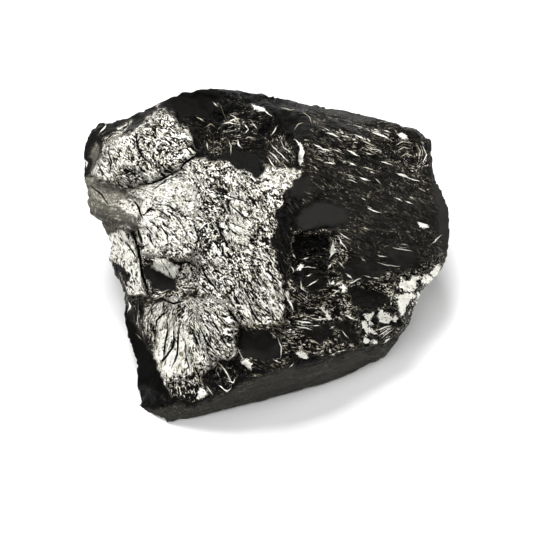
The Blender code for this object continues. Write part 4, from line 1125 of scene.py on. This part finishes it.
    def read_seams(self) -> Values:
        """Works out how each point lies to the seam that is nearest to it.

        Returns:
            Arrays named across, near, half, tone and depth: the distance to the seam with a sign for
            its side, the distance alone, half the seam's width there, its tone and its depth.
        """
        u, v = self.moved(self.seam_strays)
        near = np.full(u.shape, self.seam_reach_mm)
        across, half, tone, depth = near.copy(), np.zeros(u.shape), np.zeros(u.shape), np.zeros(u.shape)
        for seam in CRACKS + PAINTED_GLINT_SEAMS:
            spots = np.array(seam.places)
            low, high = spots.min(axis=0) - self.seam_reach_mm, spots.max(axis=0) + self.seam_reach_mm
            in_box = (u > low[0]) & (u < high[0]) & (v > low[1]) & (v < high[1])
            around = np.nonzero(in_box & (self.facing > 0.5))[0]
            lengths = np.hypot(*np.diff(spots, axis=0).T)
            for at, length in enumerate(lengths):
                (au, av), (du, dv) = spots[at], (spots[at + 1] - spots[at]) / length
                pu, pv = u[around] - au, v[around] - av
                run = np.clip(pu * du + pv * dv, 0, length)
                distance = np.hypot(pu - run * du, pv - run * dv)
                closer = distance < near[around]
                index = around[closer]
                along = 2 * (lengths[:at].sum() + run[closer]) / lengths.sum() - 1
                near[index] = distance[closer]
                across[index] = np.copysign(distance, du * pv - dv * pu)[closer]
                half[index] = seam.width_mm / 2 * (1 - self.seam_taper * along ** 2)
                tone[index], depth[index] = seam.tone, seam.depth_mm
        return {"across": across, "near": near, "half": half, "tone": tone, "depth": depth}

    def read_plates(self) -> np.ndarray:
        """Measures how far inside the nearest plate, a painted reflection, each point is.

        Returns:
            The distance to the plate's edge in mm, negative outside it.
        """
        deepest = np.full(self.facing.shape, -self.plate_reach_mm)
        for plate in PAINTED_REFLECTION_PLATES:
            deepest = np.maximum(deepest, depth_inside(self.face, plate))
        return np.where(self.facing > 0.5, deepest, -self.plate_reach_mm)

    def hidden_looks(self, values: Values) -> None:
        """Gives the sides that the broken face doesn't cover their layers and looks.

        Args:
            values: the arrays to change.
        """
        broad = cloud(self.places, self.hidden_blotch_mm[0])
        small = cloud(self.places, self.hidden_blotch_mm[1], 9.0)
        shiny = ramp(broad + 0.35 * small, 0.15, 0.5)
        # Painted shine in random patches, painted glints away from them, and smooth parts painted as an even
        # reflection.
        wanted = {"painted_shine": 0.26 + 0.4 * shiny, "contrast": 0.3 + 0.22 * shiny, "cuts": 0.8 * shiny,
                  "sparkle": 0.7 * (1 - shiny), "chipped": 0.0,
                  "polish": 0.7 * ramp(-broad + 0.2 * small, 0.05, 0.5), "painted_sheen": 0.34}
        for name, value in wanted.items():
            values[name] += (value - values[name]) * (1 - self.facing)
        x, y, z = self.places.T
        turn = math.radians(self.hidden_angle)
        along = x * math.cos(turn) + z * math.sin(turn) + 0.3 * y
        across = -x * math.sin(turn) + z * math.cos(turn)
        self.layers = np.where(self.facing > 0.5, self.layers, np.array([along, across]))

    def shape(self, values: Values) -> None:
        """Moves the points to make the small relief.

        Args:
            values: the arrays that the reading methods made.
        """
        across = self.layers[1]
        flat = np.column_stack([*self.face, np.zeros(across.shape)])
        ridges = self.wave(self.ridge_mm, 1.0) + 0.5 * self.wave(self.fine_ridge_mm, 2.0)
        phase = (across + self.step_wave_reach_mm * self.wave(self.step_wave_mm, 5.0)) / self.step_mm
        edge = phase - np.floor(phase)
        steps = (edge - 0.5 - ramp(edge, self.step_fall, 1.0)) * 2.0 + 0.5 * ridges
        relief = values["ridges_mm"] * ridges
        relief += values["steps_mm"] * steps
        relief += values["chips_mm"] * self.chips(flat, self.chip_mm, 1)
        chipped, ridged = self.fine_chip_shares
        fine = values["chips_mm"] * chipped + values["ridges_mm"] * ridged
        relief += fine * self.chips(flat, self.fine_chip_mm, 2)
        relief -= values["depth"] * (1 - ramp(values["near"], 0.0, self.groove_mm))

        rough = np.array([noise.fractal(Vector(place) / self.hidden_rough_mm, 1.0, 2.0, 3)
                          for place in self.places])
        chip_height, rough_height = self.hidden_heights_mm
        hidden = chip_height * self.chips(self.places, self.hidden_chip_mm, 3) + rough_height * rough
        relief = relief * self.facing + (1 - self.facing) * hidden

        above_floor = ramp(self.places[:, 2], *self.floor_band_mm)
        relief = (np.minimum(relief, self.highest_mm) + self.spread_mm) * above_floor
        self.places = self.places + self.normals * relief[:, None]
        self.places[:, 2] = np.maximum(self.places[:, 2], 0.0)

    def wave(self, size_mm: Pair, seed: float) -> np.ndarray:
        """Gives a noise that is drawn out along the layers of the break."""
        return wander(self.layers[0] / size_mm[0], self.layers[1] / size_mm[1], seed)

    def chips(self, places: np.ndarray, size: float, seed: int) -> np.ndarray:
        """Makes small flat chips, each tilted its own way.

        Args:
            places: the points, in mm.
            size: a chip's usual size, in mm.
            seed: picks one set of chips.

        Returns:
            The height at each point, from about -1 to 1.
        """
        chance = random.Random(self.seed + seed)
        low, high = places.min(axis=0), places.max(axis=0)
        spans = np.maximum(high - low, 1e-6)
        flat = spans[2] < 1e-3
        count = int(spans[0] * spans[1] / size ** 2) if flat else int(np.prod(spans) / size ** 3)
        tree = kdtree.KDTree(count)
        tilts = []
        for index in range(count):
            tree.insert([low[axis] + spans[axis] * chance.random() for axis in range(3)], index)
            tilts.append([chance.uniform(-1, 1) for _ in range(3)])
        tree.balance()
        height = np.empty(len(places))
        for index, place in enumerate(places):
            middle, nearest, _ = tree.find(place)
            tilt = tilts[nearest]
            height[index] = sum((place[axis] - middle[axis]) * tilt[axis] for axis in range(3)) / size * 2
        return height

    def write(self, values: Values) -> None:
        """Writes the points and what they carry for the finish into the mesh.

        Args:
            values: the arrays that the reading methods made.
        """
        self.mesh.vertices.foreach_set("co", self.places.astype(np.float32).ravel())
        for name in FINISH_VALUES:
            layer = self.mesh.attributes.new(name, "FLOAT", "POINT")
            layer.data.foreach_set("value", values[name].astype(np.float32))
        layer = self.mesh.attributes.new("grain", "FLOAT_VECTOR", "POINT")
        depth = self.places @ face_axes()[2]
        layer.data.foreach_set("vector", np.column_stack([*self.layers, depth]).astype(np.float32).ravel())
        self.mesh.polygons.foreach_set("use_smooth", np.ones(len(self.mesh.polygons), bool))
        self.mesh.update()


@dataclass
class StudioFloor:
    """A wide pale floor that the nugget lies on."""

    side_m: float = 6.0

    def build(self) -> bpy.types.Object:
        """Makes the floor.

        Returns:
            The floor's object.
        """
        plate = bmesh.new()
        bmesh.ops.create_grid(plate, x_segments=1, y_segments=1, size=self.side_m / 2)
        mesh = bpy.data.meshes.new("studio_floor")
        plate.to_mesh(mesh)
        plate.free()
        mesh.materials.append(MattePaint().build())
        floor = bpy.data.objects.new("studio_floor", mesh)
        bpy.context.scene.collection.objects.link(floor)
        return floor


@dataclass(frozen=True)
class Softbox:
    """A square soft lamp that hangs in the given direction and looks at the nugget."""

    name: str
    direction: tuple[float, float, float]
    distance_m: float
    side_m: float
    glow: float

    def build(self) -> bpy.types.Object:
        """Makes the lamp.

        Returns:
            The lamp's object.
        """
        lamp = bpy.data.lights.new(self.name, "AREA")
        lamp.shape = "SQUARE"
        lamp.size = self.side_m
        lamp.energy = self.glow * math.pi * self.side_m ** 2
        holder = bpy.data.objects.new(self.name, lamp)
        way = Vector(self.direction).normalized()
        holder.location = way * self.distance_m
        holder.rotation_mode = "QUATERNION"
        holder.rotation_quaternion = way.to_track_quat("Z", "Y")
        bpy.context.scene.collection.objects.link(holder)
        return holder


@dataclass
class Studio:
    """The lamps, the room's own light and the camera."""

    softboxes: tuple[Softbox, ...] = (
        Softbox("key_softbox", (-0.30, -0.45, 0.84), 0.7, 0.5, 2.9),
        Softbox("fill_softbox", (0.76, 0.12, 0.66), 0.7, 0.42, 4.4),
        Softbox("back_softbox", (-0.20, 0.55, 0.81), 0.9, 0.48, 15.6),
    )
    room_glow: float = 0.06
    camera_distance_m: float = 1.0
    camera_clip_m: Pair = (0.05, 20.0)
    sensor_mm: float = 36.0

    def build(self) -> None:
        """Makes the lamps, the room and the camera."""
        for softbox in self.softboxes:
            softbox.build()
        self.build_room()
        self.build_camera()

    def build_room(self) -> None:
        """Makes the room's even light."""
        world = bpy.data.worlds.new("studio_room")
        world.use_nodes = True
        background = world.node_tree.nodes["Background"]
        background.inputs["Color"].default_value = (1.0, 1.0, 1.0, 1.0)
        background.inputs["Strength"].default_value = self.room_glow
        scene = bpy.context.scene
        scene.world = world
        scene.view_settings.view_transform = "Standard"

    def build_camera(self) -> None:
        """Makes the camera, which looks straight at the broken face."""
        data = bpy.data.cameras.new("face_camera")
        data.sensor_width = self.sensor_mm
        data.lens = self.sensor_mm * self.camera_distance_m / (PICTURE_WIDTH_MM * MM)
        data.clip_start, data.clip_end = self.camera_clip_m
        camera = bpy.data.objects.new("face_camera", data)
        out = Vector(face_axes()[2])
        camera.location = Vector(FACE_ORIGIN_MM * MM) + out * self.camera_distance_m
        camera.rotation_mode = "QUATERNION"
        camera.rotation_quaternion = (-out).to_track_quat("-Z", "Y")
        bpy.context.scene.collection.objects.link(camera)
        bpy.context.scene.camera = camera


def main() -> None:
    """Builds the nugget's skin, the floor and the studio."""
    logging.basicConfig(level=logging.INFO, format="%(name)s: %(message)s")
    skin = NuggetSkin(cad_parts[NODE]).build()
    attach(skin, "root")
    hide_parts(NODE)
    LOG.info("%s: %d points, %d faces", skin.name, len(skin.data.vertices), len(skin.data.polygons))

    floor = StudioFloor().build()
    LOG.info("%s: %.1f m wide", floor.name, floor.dimensions.x)

    studio = Studio()
    studio.build()
    LOG.info("studio: %d softboxes and a camera", len(studio.softboxes))


if __name__ == "__main__":
    main()
